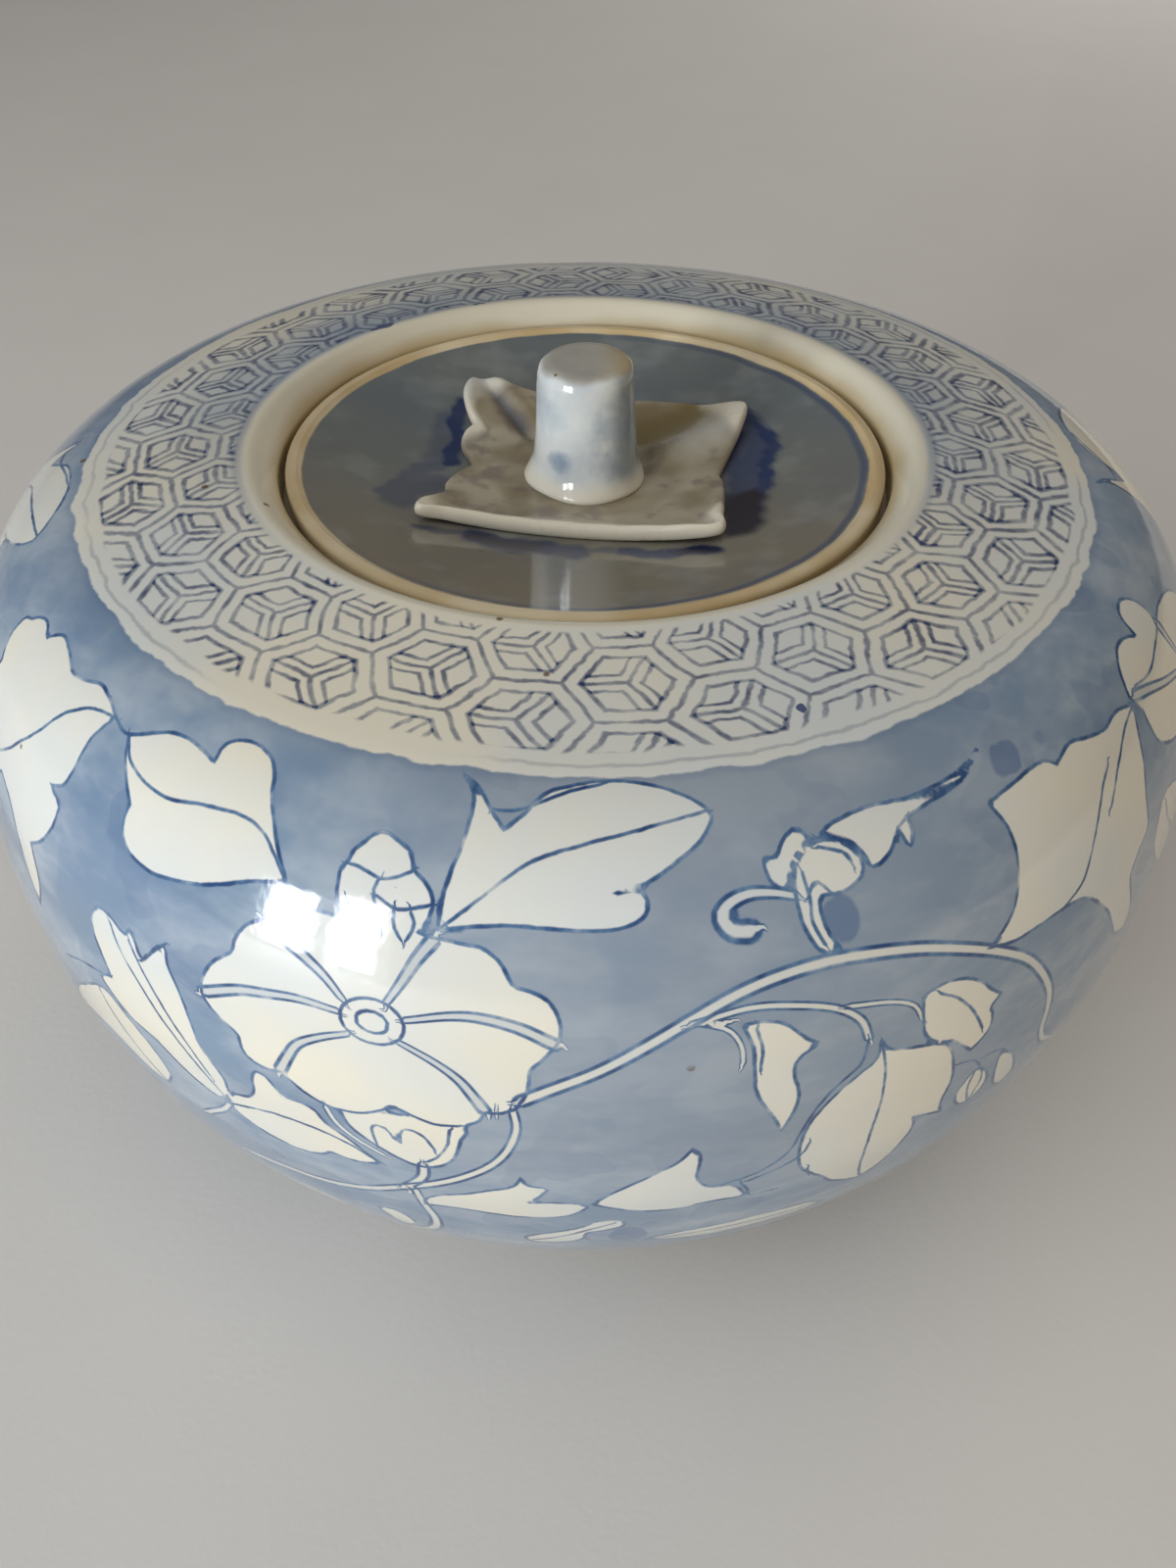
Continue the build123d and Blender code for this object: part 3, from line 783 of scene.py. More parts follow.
class Paint:
    """A new material's node tree, with its Principled shader and the helpers that feed it."""

    def __init__(self, name, piece):
        self.material = bpy.data.materials.new(name)
        self.material.use_nodes = True
        self.tree = self.material.node_tree
        self.shader = self.tree.nodes["Principled BSDF"]
        coordinates = self.tree.nodes.new("ShaderNodeTexCoord")
        self.place = coordinates.outputs["Object"]
        piece.data.materials.clear()
        piece.data.materials.append(self.material)

    def attribute(self, name):
        node = self.tree.nodes.new("ShaderNodeAttribute")
        node.attribute_name = name
        return Number(self.tree, node.outputs["Fac"])

    def wrap(self):
        """The piece's UV map as two Numbers: degrees round and millimetres along."""
        node = self.tree.nodes.new("ShaderNodeUVMap")
        node.uv_map = "wrap"
        split = self.tree.nodes.new("ShaderNodeSeparateXYZ")
        self.tree.links.new(node.outputs[0], split.inputs[0])
        return Number(self.tree, split.outputs[0]), Number(self.tree, split.outputs[1])

    def axes(self):
        """Object coordinates as three Numbers, in metres."""
        split = self.tree.nodes.new("ShaderNodeSeparateXYZ")
        self.tree.links.new(self.place, split.inputs[0])
        return [Number(self.tree, output) for output in split.outputs]

    def noise(self, size, detail=3.0, rough=0.5, stretch=(1, 1, 1), seed=0.0):
        """Soft noise about 0.5, with features about size millimetres across, times stretch."""
        mapping = self.tree.nodes.new("ShaderNodeMapping")
        mapping.inputs["Scale"].default_value = [1 / (size * MM * part) for part in stretch]
        mapping.inputs["Location"].default_value = (seed, seed, seed)
        self.tree.links.new(self.place, mapping.inputs["Vector"])
        node = self.tree.nodes.new("ShaderNodeTexNoise")
        node.inputs["Scale"].default_value = 1.0
        node.inputs["Detail"].default_value = detail
        node.inputs["Roughness"].default_value = rough
        self.tree.links.new(mapping.outputs[0], node.inputs["Vector"])
        return Number(self.tree, node.outputs["Fac"])

    def specks(self, spacing, size, seed=0.0):
        """1 inside small round specks of about size, one in each cell of about spacing millimetres."""
        mapping = self.tree.nodes.new("ShaderNodeMapping")
        mapping.inputs["Scale"].default_value = [1 / (spacing * MM)] * 3
        mapping.inputs["Location"].default_value = (seed, seed, seed)
        self.tree.links.new(self.place, mapping.inputs["Vector"])
        node = self.tree.nodes.new("ShaderNodeTexVoronoi")
        node.inputs["Scale"].default_value = 1.0
        self.tree.links.new(mapping.outputs[0], node.inputs["Vector"])
        return Number(self.tree, node.outputs["Distance"]).rise(size / spacing, 0.6 * size / spacing)

    def mix(self, share, first, second):
        """Colour from first to second as share goes from 0 to 1."""
        node = self.tree.nodes.new("ShaderNodeMix")
        node.data_type = "RGBA"
        plug(self.tree, share, node.inputs["Factor"])
        for socket, colour in ((node.inputs[6], first), (node.inputs[7], second)):
            plug(self.tree, colour if isinstance(colour, Number) else (*colour, 1.0), socket)
        return Number(self.tree, node.outputs[2])

    def finish(self, colour, roughness, height, relief):
        """Plug in the colour and roughness, and a height (0 to 1) raised by relief millimetres as bump."""
        plug(self.tree, colour, self.shader.inputs["Base Color"])
        plug(self.tree, roughness, self.shader.inputs["Roughness"])
        bump = self.tree.nodes.new("ShaderNodeBump")
        bump.inputs["Strength"].default_value = 1.0
        bump.inputs["Distance"].default_value = relief * MM
        plug(self.tree, height, bump.inputs["Height"])
        self.tree.links.new(bump.outputs[0], self.shader.inputs["Normal"])


def srgb(red, green, blue):
    """A colour given as 0 to 255 in sRGB, made linear: ((c + 0.055) / 1.055) ^ 2.4 above the toe."""
    parts = np.array([red, green, blue]) / 255
    linear = np.where(parts > 0.04045, ((parts + 0.055) / 1.055) ** 2.4, parts / 12.92)
    return tuple(float(part) for part in linear)

# %% [markdown]
# ## The glaze of the body
# Cobalt is brushed on the raw clay and the clear glaze goes over it, so the blue lies under a wet shine
# and never in relief. The colours are built in the painter's order: the bare white body, the blue wash
# cut back round every white shape, the pale cores of the stems, then the dark pen lines on top.

# %% Jar colours
PORCELAIN = srgb(225, 219, 200)
PORCELAIN_COOL = srgb(210, 214, 212)
WASH_PALE = srgb(160, 172, 184)
WASH = srgb(117, 139, 162)
# grey of the painted reflection haze over the front of the wash
WASH_REFLECTION_GREY = srgb(150, 158, 166)
WASH_DEEP = srgb(78, 104, 142)
COBALT = srgb(38, 58, 110)
COBALT_GREY = srgb(72, 90, 118)
BAND_DARK = srgb(42, 58, 98)
PEN_DARK = srgb(42, 72, 116)
PEN_PALE = srgb(90, 121, 154)
MOUTH_CREAM = srgb(218, 212, 192)
MOUTH_OCHRE = srgb(182, 162, 120)
BARE_CLAY = srgb(204, 190, 164)
IRON = srgb(96, 62, 34)

jar_paint = Paint("body_glaze_blue_and_white", jar)
turn_at, down = jar_paint.wrap()
waver = jar_paint.noise(9, 2.0)
tremble = jar_paint.noise(2.2, 2.0, seed=3.0)
pressure = jar_paint.noise(5, 3.0, 0.6, seed=7.0)
broad = jar_paint.noise(45, 3.0, 0.55, seed=11.0)
streak = jar_paint.noise(16, 4.0, 0.6, (1.6, 1.6, 0.7), seed=17.0)
pooled = jar_paint.noise(26, 2.0, 0.4, (1.0, 1.0, 0.8), seed=23.0)
second_coat = jar_paint.noise(13, 2.0, 0.4, seed=29.0)

# %% [markdown]
# The band round the mouth is a honeycomb. In each cell three strokes meet in the middle and make a cube
# of three lozenges, and each lozenge has a smaller one inside. All of it comes from one six-sided
# distance: h is 0 in the middle of a cell and 1 on the line it shares with its neighbours, and m is 0 on
# the three strokes. Where strokes cross, the ink is doubled, as where a brush is set down twice.

# %% Honeycomb band
CELL_TURN = 22.5  # degrees from one cell to the next in a row
CELL_DROP = 14.2  # millimetres from one row to the next but one
FIRST_CELL = (-6.2, 4.4)
CUBE = 0.71
CHEVRON_INSET = 0.215
LINE_HALF = 0.046

across = (turn_at + ((waver - 0.5) * 1.6 + (tremble - 0.5) * 0.7) - FIRST_CELL[0]) / CELL_TURN
downward = (down + ((waver - 0.5) * -1.4 + (tremble - 0.5) * 0.8) - FIRST_CELL[1]) / CELL_DROP


def honeycomb(shift):
    """Six-sided distance h and distance m from the three strokes, in the family of cells at shift."""
    p = ((across + (shift + 0.5)).math("FRACT") - 0.5) * 3.0
    q = abs((downward + (shift + 0.5)).math("FRACT") - 0.5)
    h = (q * 2.0).most(abs(p) + q)
    lean = p - q
    m = abs(lean).least(q * 2.0 + lean.math("GREATER_THAN", 0.0) * 10.0)
    return h, m


h_one, m_one = honeycomb(0.0)
h_two, m_two = honeycomb(0.5)
pick = h_one.math("LESS_THAN", h_two)
h = h_one.least(h_two)
m = m_two + (m_one - m_two) * pick
line_half = (pressure * 0.9 + 0.5) * (abs(turn_at).rise(20.0, 100.0) * 0.5 + 1.0) * LINE_HALF
inner = h.rise(CUBE + 0.015, CUBE - 0.015)
shared_line = (h - 1.0).line(line_half, 0.6)
cube_line = (h - CUBE).line(line_half, 0.6)
spokes = m.line(line_half, 0.6) * inner
chevrons = (m - CHEVRON_INSET).line(line_half * 0.9, 0.6) * inner
honeycomb_ink = (shared_line + cube_line + spokes + chevrons) * 0.85
band = down.rise(0.8, 1.6) * (down + (waver - 0.5) * 3.0).rise(24.0, 23.2)
honeycomb_ink = (honeycomb_ink * band * (pressure * 1.5)).math("MINIMUM", 1.0)

# %% Wash, stems and pen lines
PEN_HALF = 0.27
WASH_TOP = 27.8
WASH_FOOT = 168.0

white = jar_paint.attribute("white") + (tremble - 0.5) * 0.35
wash_edge = (down + (waver - 0.5) * 2.6 + (tremble - 0.5) * 0.8)
wash_area = wash_edge.rise(WASH_TOP - 0.2, WASH_TOP + 0.3) * wash_edge.rise(WASH_FOOT + 0.3, WASH_FOOT - 0.2)
wash_here = wash_area * white.rise(0.0, 0.25)
edge_pool = wash_area * (wash_edge - WASH_TOP).rise(1.8, 0.2)

pen_half = (pressure * 0.9 + 0.5) * PEN_HALF
pen_line = 0.0
stem_core = 0.0
stem_line = 0.0
for number in range(PEN_LAYERS):
    side = jar_paint.attribute(f"pen_side_{number}") + (tremble - 0.5) * 0.3
    near = jar_paint.attribute(f"pen_near_{number}")
    pen_line = (side.line(pen_half, 0.5) * near.rise(1.35, 1.0)).most(pen_line)
for number in range(STEM_LAYERS):
    side = abs(jar_paint.attribute(f"stem_side_{number}"))
    near = jar_paint.attribute(f"stem_near_{number}")
    stem_core = (side.rise(0.95, 0.8) * near.rise(1.1, 0.8)).most(stem_core)
    stem_line = ((side - 1.0).line(0.38, 0.5) * near.rise(1.3, 1.0)).most(stem_line)
edge_line = white.line(pen_half * 1.1, 0.5)
pen = pen_line.most(edge_line).most(stem_line) * wash_area.most(down.rise(26.0, 27.0))
pen = pen * (pressure.rise(0.2, 0.5) * 0.75 + 0.25)

# Each dab is (degrees round, depth, half width in degrees, half height in millimetres).
BRUSH_DABS = [(-137.0, 0.6, 2.4, 0.9), (22.0, 20.5, 0.6, 0.9), (-158.0, 0.4, 1.2, 0.5)]
OVERLAPS = [(18.8, 50.5, 1.3, 3.2), (36.5, 38.5, 1.5, 2.3), (4.0, 114.5, 1.6, 4.0), (-161.0, 49.0, 1.3, 3.2)]


def brush_dabs(dabs):
    """1 inside small oval dabs with a trembling edge."""
    total = 0.0
    for dab_turn, dab_down, long, tall in dabs:
        side_way = (turn_at - dab_turn + (waver - 0.5) * 2.0) / long
        down_way = (down - dab_down + (tremble - 0.5) * 2.0) / tall
        total = (side_way * side_way + down_way * down_way).rise(1.3, 0.8).most(total)
    return total


wash_colour = jar_paint.mix(streak.rise(0.32, 0.62), WASH_PALE, WASH)
wash_colour = jar_paint.mix(pooled.rise(0.55, 0.58) * 0.2, wash_colour, WASH_DEEP)
wash_colour = jar_paint.mix(second_coat.rise(0.6, 0.62) * 0.24, wash_colour, WASH_DEEP)
wash_colour = jar_paint.mix(broad.rise(0.45, 0.3) * 0.45, wash_colour, WASH_PALE)
# Painted reflection: a pale grey haze over the wash on the upper front stands for light reflected in the
# glaze. It covers about 36 degrees either side of 8 degrees round, and the wall less than about 80 to 110 mm
# down.
front_reflection_haze = abs(turn_at - 8.0).rise(36.0, 8.0) * (down + (broad - 0.5) * 40.0).rise(110.0, 80.0)
wash_colour = jar_paint.mix(front_reflection_haze * 0.55, wash_colour, WASH_REFLECTION_GREY)
wash_colour = jar_paint.mix(edge_pool * 0.25, wash_colour, WASH_DEEP)
wash_colour = jar_paint.mix(brush_dabs(OVERLAPS) * 0.6, wash_colour, WASH_DEEP)
glaze_colour = jar_paint.mix(broad.rise(0.3, 0.7), PORCELAIN, PORCELAIN_COOL)
colour = jar_paint.mix(wash_here, glaze_colour, wash_colour)
in_wash = white.rise(-0.3, 0.3)
core_colour = jar_paint.mix(
    in_wash,
    jar_paint.mix(0.45, glaze_colour, WASH_PALE),
    jar_paint.mix(0.2, glaze_colour, WASH_PALE),
)
colour = jar_paint.mix(stem_core * wash_area, colour, core_colour)

# %% Mouth, rings, foot and specks
mouth = down.rise(0.2, -0.4)
mouth_colour = jar_paint.mix((down * -1.0 + (broad - 0.5) * 8.0).rise(3.0, 8.0), MOUTH_CREAM, MOUTH_OCHRE)
colour = jar_paint.mix(mouth, colour, mouth_colour)
lip_ring = (down - 1.0 + (waver - 0.5) * 0.8).line(0.9, 0.8) * abs(turn_at).rise(35.0, 95.0) * 0.5
border_ring = (wash_edge - 25.9).line(0.3, 0.8) * broad.rise(0.35, 0.6) * 0.35
foot_rings = (wash_edge - 171.5).line(0.6, 0.4).most((wash_edge - 176.5).line(0.35, 0.4))
band_colour = jar_paint.mix(pressure.rise(0.38, 0.68), COBALT_GREY, BAND_DARK)
pen_colour = jar_paint.mix(pressure.rise(0.42, 0.66), PEN_PALE, PEN_DARK)
lip_haze = down.rise(22.0, 3.0) * down.rise(0.4, 1.6) * abs(turn_at).rise(40.0, 125.0) * 0.65
colour = jar_paint.mix(lip_ring.most(border_ring).most(foot_rings * 0.8), colour, COBALT_GREY)
colour = jar_paint.mix(lip_haze * (streak * 1.6), colour, WASH)
colour = jar_paint.mix(honeycomb_ink, colour, band_colour)
colour = jar_paint.mix(pen, colour, pen_colour)
colour = jar_paint.mix(brush_dabs(BRUSH_DABS) * 0.9, colour, COBALT)
bare = down.rise(183.2, 183.8) * down.rise(193.5, 193.0)
bare = bare.most(down.rise(-11.3, -11.7) * down.rise(-19.5, -19.0))
colour = jar_paint.mix(bare, colour, BARE_CLAY)
iron_specks = jar_paint.specks(13.0, 0.75) * jar_paint.noise(30, 1.0, seed=31.0).rise(0.5, 0.54)
colour = jar_paint.mix(iron_specks * 0.85, colour, IRON)

peel = jar_paint.noise(1.6, 2.0, 0.5, seed=41.0)
roughness = (jar_paint.noise(12, 3.0, seed=43.0) * 0.08 + 0.06).most(bare * 0.75)
jar_paint.finish(colour, roughness, peel * 0.5 + waver * 0.5, 0.05)
jar_paint.shader.inputs["IOR"].default_value = 1.5
jar_paint.shader.inputs["Coat Weight"].default_value = 0.35
jar_paint.shader.inputs["Coat Roughness"].default_value = 0.04
print("body glaze", len(jar_paint.tree.nodes), "nodes")

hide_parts("jar_body")
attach(jar, "jar")

# %% [markdown]
# ## The lid
# The lid is a shallow dish with a rounded rim. Its underside steps in to a plug that drops into the
# throat, so it can't slide off. The dish is part of a sphere, so the leaf and knob sit lowest.

# %% Lid mesh
LID_RADIUS = 51.6
LID_TOP = 127.0
RIM_INNER = 49.1
RIM_STEP = 0.6
DISH_CENTRE = 119.8
DISH_DEPTH = LID_TOP - DISH_CENTRE
UNDERSIDE = 115.2
PLUG_RADIUS = 45.2
LID_COLUMNS = 384

dish_rise = DISH_DEPTH - RIM_STEP
dish_radius = (RIM_INNER**2 + dish_rise**2) / (2 * dish_rise)


def dish_height(radius):
    """Height of the dished top: z = centre + R - sqrt(R^2 - r^2)."""
    return DISH_CENTRE + dish_radius - np.sqrt(dish_radius**2 - radius**2)


under = np.linspace(1.0, PLUG_RADIUS, 12)
underside = np.stack([under, UNDERSIDE + (SEAT_HEIGHT - 2.5 - UNDERSIDE) * (under / PLUG_RADIUS) ** 2], -1)
dish = np.linspace(RIM_INNER, 1.0, 66)
dish = np.stack([dish, dish_height(dish)], -1)
rim = rounded(
    [underside[-1], (PLUG_RADIUS, SEAT_HEIGHT), (LID_RADIUS, SEAT_HEIGHT), (LID_RADIUS, LID_TOP),
     (LID_RADIUS - 1.9, LID_TOP), dish[0]],
    [0.4, 0.8, 1.1, 0.5], 1.5)
lid_outline = np.vstack([underside[:-1], rim[:-1], dish])
lid_along = run_length(lid_outline)
LID_EDGE_RUN = float(lid_along[np.argmax(lid_outline[:, 0] > LID_RADIUS - 0.05)])
lid_theta = columns(LID_COLUMNS)
lid_points = place(lid_outline[:, :1], lid_outline[:, 1:], lid_theta[None, :])
lid = closed_grid("lid_plate_glazed", lid_points, lid_theta, lid_along, (0, 0, UNDERSIDE),
    (0, 0, DISH_CENTRE))

# %% [markdown]
# Blue was brushed round the leaf in a few loaded strokes, which ran and pooled: nearly black where the
# brush stopped, thin where it dragged. Each stroke is a line of points on the dish with its half width.

# %% Brush marks on the lid
BLUE_MARKS = [  # (points in millimetres, -y in front), half width, strength
    ([(-18, -21.1), (-12, -22.9), (-6, -23.9), (-1, -24.5)], 2.3, 1.0),
    ([(-28, -19.2), (-22, -20.4), (-16, -21.6)], 0.9, 0.6),
    ([(7, -25.0), (13, -26.0), (21, -25.9)], 1.6, 1.0),
    ([(-1, -24), (4, -24.4), (8, -24.8)], 1.0, 0.6),
    ([(10, 25.3), (17, 24.6), (24, 23.6), (29, 21.2)], 1.0, 0.9),
    ([(29, 21.2), (32, 15), (33.4, 8.5), (32, 2), (30.6, -5), (27.6, -13)], 1.3, 1.0),
    ([(29.5, 15), (29, 6), (28.2, -3), (27, -11)], 3.6, 0.8),
    ([(-23.6, 25), (-24, 18), (-23, 13), (-24.6, 9), (-23.6, 5)], 1.5, 1.0),
    ([(-25.4, 3.6), (-28, 2), (-31, -2.5), (-34, -9)], 1.6, 0.5),
    ([(-26.5, -2.5), (-30, -6), (-31.5, -11)], 2.8, 0.5),
    ([(-25, 20), (-26, 12), (-26.5, 4)], 2.2, 0.4),
]
DARK_MARKS = [
    ([(27.4, -9), (26.8, -13), (25.6, -18)], 3.2, 1.0),
    ([(-18, -21.1), (-13, -22.6), (-8, -23.6)], 1.5, 0.75),
    ([(16, -26), (21, -25.8)], 1.1, 0.6),
]


def brush_marks(marks, x, y):
    """Strength of the strongest mark at each point: full inside, fading over the mark's own edge."""
    here = np.stack([x.ravel(), y.ravel()], -1)
    total = np.zeros(len(here))
    for points, half, strength in marks:
        curve = smooth(points)
        gap, _, _ = segment_distances(here, curve[:-1], curve[1:])
        total = np.maximum(total, strength * np.clip((half * 1.4 - gap.min(1)) / (half * 0.6), 0, 1))
    return total


upper = (np.arange(len(lid_outline)) >= len(lid_outline) - len(dish))[:, None]
mark_x, mark_y = lid_points[..., 0], lid_points[..., 1]
shape = mark_x.shape
wobble_x = mark_x + 0.4 * np.sin(mark_y * 0.45) + 0.25 * np.sin(mark_x * 0.9 + mark_y * 1.3 + 1)
wobble_y = mark_y + 0.4 * np.sin(mark_x * 0.5 + 2) + 0.25 * np.sin(mark_y * 0.7 - mark_x * 1.2)
for name, marks in (("blue_mark", BLUE_MARKS), ("dark_mark", DARK_MARKS)):
    paint_on(lid, name, brush_marks(marks, wobble_x, wobble_y).reshape(shape) * upper)

# %% Lid glaze
LID_BLUE = srgb(108, 114, 112)
# brown of the painted room reflection on the front of the dish
LID_REFLECTION_BROWN = srgb(128, 120, 102)
LID_SLATE = srgb(94, 104, 114)
RIM_CREAM = srgb(222, 208, 176)
RIM_OCHRE = srgb(198, 172, 126)
PLUM = srgb(30, 24, 38)
MARK_BLUE = srgb(28, 48, 90)
RING_BLUE = srgb(66, 78, 104)

lid_paint = Paint("lid_glaze_grey_blue", lid)
lid_x, lid_y, _ = lid_paint.axes()
lid_reach = (lid_x * lid_x + lid_y * lid_y).math("SQRT") * 1000.0
mottle = lid_paint.noise(24, 2.0, 0.5, seed=2.0)
cloud = lid_paint.noise(8, 2.0, 0.5, seed=5.0)
grain = lid_paint.noise(1.2, 2.0, 0.5, seed=9.0)
# Painted reflection: the dish turns brownish towards the front, where its glaze reflects brown surroundings.
front = (lid_y * -1000.0 + (mottle - 0.5) * 60.0).rise(-20.0, 38.0)
lid_colour = lid_paint.mix(front, LID_BLUE, LID_REFLECTION_BROWN)
lid_colour = lid_paint.mix(mottle.rise(0.4, 0.7) * 0.5, lid_colour, LID_SLATE)
lid_colour = lid_paint.mix(cloud.rise(0.45, 0.75) * 0.1, lid_colour, PORCELAIN_COOL)
inside_ring = (lid_reach + (cloud - 0.5) * 0.8).rise(48.5, 49.0)
rim_colour = lid_paint.mix(mottle.rise(0.35, 0.65), RIM_CREAM, RIM_OCHRE)
lid_colour = lid_paint.mix(inside_ring, lid_colour, rim_colour)
ring = (lid_reach - 47.9 + (cloud - 0.5) * 1.2).line(0.6, 0.8)
ring = ring * (lid_x * 1000.0 - lid_y * 400.0 + (mottle - 0.5) * 40.0).rise(-40.0, 30.0)
lid_colour = lid_paint.mix(ring * 0.75, lid_colour, RING_BLUE)
blue_mark = lid_paint.attribute("blue_mark") * (cloud * 0.8 + 0.6).math("MINIMUM", 1.0)
lid_colour = lid_paint.mix(blue_mark.math("MINIMUM", 1.0), lid_colour, MARK_BLUE)
lid_colour = lid_paint.mix(lid_paint.attribute("dark_mark"), lid_colour, PLUM)
lid_specks = lid_paint.specks(9.0, 0.4) * mottle.rise(0.45, 0.55)
lid_colour = lid_paint.mix(lid_specks * 0.6, lid_colour, IRON)
_, lid_run = lid_paint.wrap()
below = lid_run.rise(LID_EDGE_RUN + 0.6, LID_EDGE_RUN)
lid_colour = lid_paint.mix(below, lid_colour, BARE_CLAY)
lid_roughness = (mottle * 0.1 + 0.05).most(below * 0.7)
lid_paint.finish(lid_colour, lid_roughness, cloud * 0.8 + grain * 0.2, 0.06)
lid_paint.shader.inputs["Coat Weight"].default_value = 0.4
lid_paint.shader.inputs["Coat Roughness"].default_value = 0.05
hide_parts("lid_plate")
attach(lid, "lid")

# %% [markdown]
# ## The leaf
# A square of clay was cut and pinched into a leaf: it lies on the dish in the middle, its two far tips
# stand up, its near edge is rolled and one side is torn in scallops. It is worked out on a polar grid:
# the outline gives the reach R at each angle, and a section runs from the middle of the underside out to
# the rim, round it and back over the top.

# %% Leaf mesh
LEAF_EDGE = [
    [(-20.2, 25.4), (-12, 24.2), (-2, 22.8), (9, 22.4), (19.5, 21.4), (26.4, 19.8), (28.6, 18.8)],
    [(29.6, 17.2), (28.6, 13.5), (27.0, 9), (25.2, 4), (23.4, -1.5)],
    [(24, -4.5), (23.6, -12), (22.8, -19)],
    [(21.8, -23.7), (10, -22), (-2, -20.4), (-14, -18.8), (-24, -17.8)],
    [(-27.9, -18), (-27.6, -15.2), (-25.4, -12), (-23.6, -9)],
    [(-24.2, -5.6), (-22.6, -1.4), (-20.2, 1.6)],
    [(-20.6, 4.2), (-22.4, 8), (-22.3, 12), (-20.6, 14.6)],
    [(-22, 17.6), (-22.8, 21.4), (-21.6, 24.6)],
]
LEAF_COLUMNS = 360
HOLLOW_SIDE = -7.0  # of the hollow behind the ridge, from the line to the tip
RIDGE_SIDE = 1.5
LEAF_THICKNESS = 1.9
LEAF_SEAT = DISH_CENTRE + LEAF_THICKNESS
TIP_LIFTS = [(-20.2, 25.4, 2.4), (29.4, 16.6, 0.7), (21.8, -23.7, 1.3), (-27.9, -18.0, 1.1)]
BACK_LIFT = 2.1

leaf_curve = outline_of(LEAF_EDGE)
edge_angle = np.arctan2(leaf_curve[:, 0], -leaf_curve[:, 1])
order = np.argsort(edge_angle)
leaf_theta = columns(LEAF_COLUMNS)
leaf_reach = np.interp(
    leaf_theta, edge_angle[order], np.hypot(*leaf_curve[order].T), period=2 * np.pi)


def along_ridge(x, y, tip_x, tip_y):
    """Share of the way to a tip, and the distance to the side of the line to it."""
    length = math.hypot(tip_x, tip_y)
    return (x * tip_x + y * tip_y) / length**2, (x * tip_y - y * tip_x) / length


def leaf_lift(x, y):
    """Height above the dish: the far edge curls up, and each tip rises by A t^1.8 along its own line, with
    t from 0 at 0.42 of the way."""
    lift = BACK_LIFT * ease(y, 9, 24)
    for tip_x, tip_y, rise in TIP_LIFTS:
        share, side = along_ridge(x, y, tip_x, tip_y)
        lift = lift + rise * np.clip((share - 0.42) / 0.58, 0, 1.1) ** 1.8 * np.exp(-((side / 13) ** 2))
    return lift


def ease(value, low, high):
    """Smooth step: 3 t^2 - 2 t^3 with t from 0 at low to 1 at high."""
    t = np.clip((value - low) / (high - low), 0, 1)
    return t * t * (3 - 2 * t)


def leaf_relief(x, y, reach):
    """Height of the modelled top: a ridge to the far right tip with a hollow each side, a groove to the
    far left tip, low veins, soft finger dents and a bead along the near edge."""
    outer = ease(np.hypot(x, y), 11, 16)
    relief = 0.0
    share, side = along_ridge(x, y, 29.4, 16.6)
    on = outer * ease(share, 0, 0.1)
    relief = relief + on * (2.0 - 1.2 * ease(share, 0.7, 1)) * np.exp(-(((side - RIDGE_SIDE) / 4.2) ** 2))
    relief = relief - on * 1.2 * np.exp(-(((side - HOLLOW_SIDE) / 4.0) ** 2))
    relief = relief - on * 0.7 * np.exp(-(((side + HOLLOW_SIDE) / 3.0) ** 2))
    share, side = along_ridge(x, y, -20.2, 25.7)
    on = outer * ease(share, 0, 0.1)
    relief = relief + on * (0.7 * np.exp(-(((side - 2.2) / 1.8) ** 2)) - 1.0 * np.exp(-((side / 1.5) ** 2)))
    share, side = along_ridge(x, y, -27.9, -18.0)
    relief = relief + outer * ease(share, 0, 0.1) * -0.5 * np.exp(-((side / 1.6) ** 2))
    share, side = along_ridge(x, y, 21.8, -23.7)
    relief = relief + outer * ease(share, 0, 0.1) * -0.45 * np.exp(-((side / 2.0) ** 2))
    relief = relief + outer * 0.1 * np.sin(0.55 * x + 0.8) * np.sin(0.47 * y - 0.3 * x)
    near_edge = np.exp(-(((reach - np.hypot(x, y)) / 2.2) ** 2))
    return relief + near_edge * (0.1 + 1.2 * ease(-y, 8, 18))


BELOW_SHARES = np.linspace(0.06, 0.985, 16)
RIM_TURNS = np.radians(np.linspace(-75, 75, 9))
ABOVE_SHARES = np.linspace(0.985, 0.05, 54)
half = LEAF_THICKNESS / 2
inner_reach = leaf_reach - half
below_r = BELOW_SHARES[:, None] * inner_reach
rim_r = inner_reach + half * np.cos(RIM_TURNS)[:, None]
above_r = ABOVE_SHARES[:, None] * inner_reach


def leaf_bottom(radius):
    """Underside: the dish itself, plus the lift of the tips."""
    x, y = radius * np.sin(leaf_theta), -radius * np.cos(leaf_theta)
    return dish_height(radius) + 0.02 + leaf_lift(x, y)


def leaf_top(radius):
    """Top: flat under the knob, then the dish plus the thickness, the lift and the modelling."""
    x, y = radius * np.sin(leaf_theta), -radius * np.cos(leaf_theta)
    ground = DISH_CENTRE + (dish_height(radius) - DISH_CENTRE) * ease(radius, 8, 15)
    return ground + LEAF_THICKNESS + leaf_lift(x, y) + leaf_relief(x, y, leaf_reach)


lowest, highest = leaf_bottom(inner_reach), leaf_top(inner_reach)
rim_z = (lowest + highest) / 2 + (highest - lowest) / 2 * np.sin(RIM_TURNS)[:, None]
leaf_r = np.vstack([below_r, rim_r, above_r])
leaf_z = np.vstack([leaf_bottom(below_r), rim_z, leaf_top(above_r)])
leaf_points = place(leaf_r, leaf_z, leaf_theta[None, :])
leaf_along = np.linspace(0, 60, len(leaf_points))
leaf = closed_grid(
    "lid_calyx_glazed", leaf_points, leaf_theta, leaf_along, (0, 0, DISH_CENTRE + 0.02), (0, 0, LEAF_SEAT))
leaf_x_at, leaf_y_at = leaf_points[..., 0], leaf_points[..., 1]
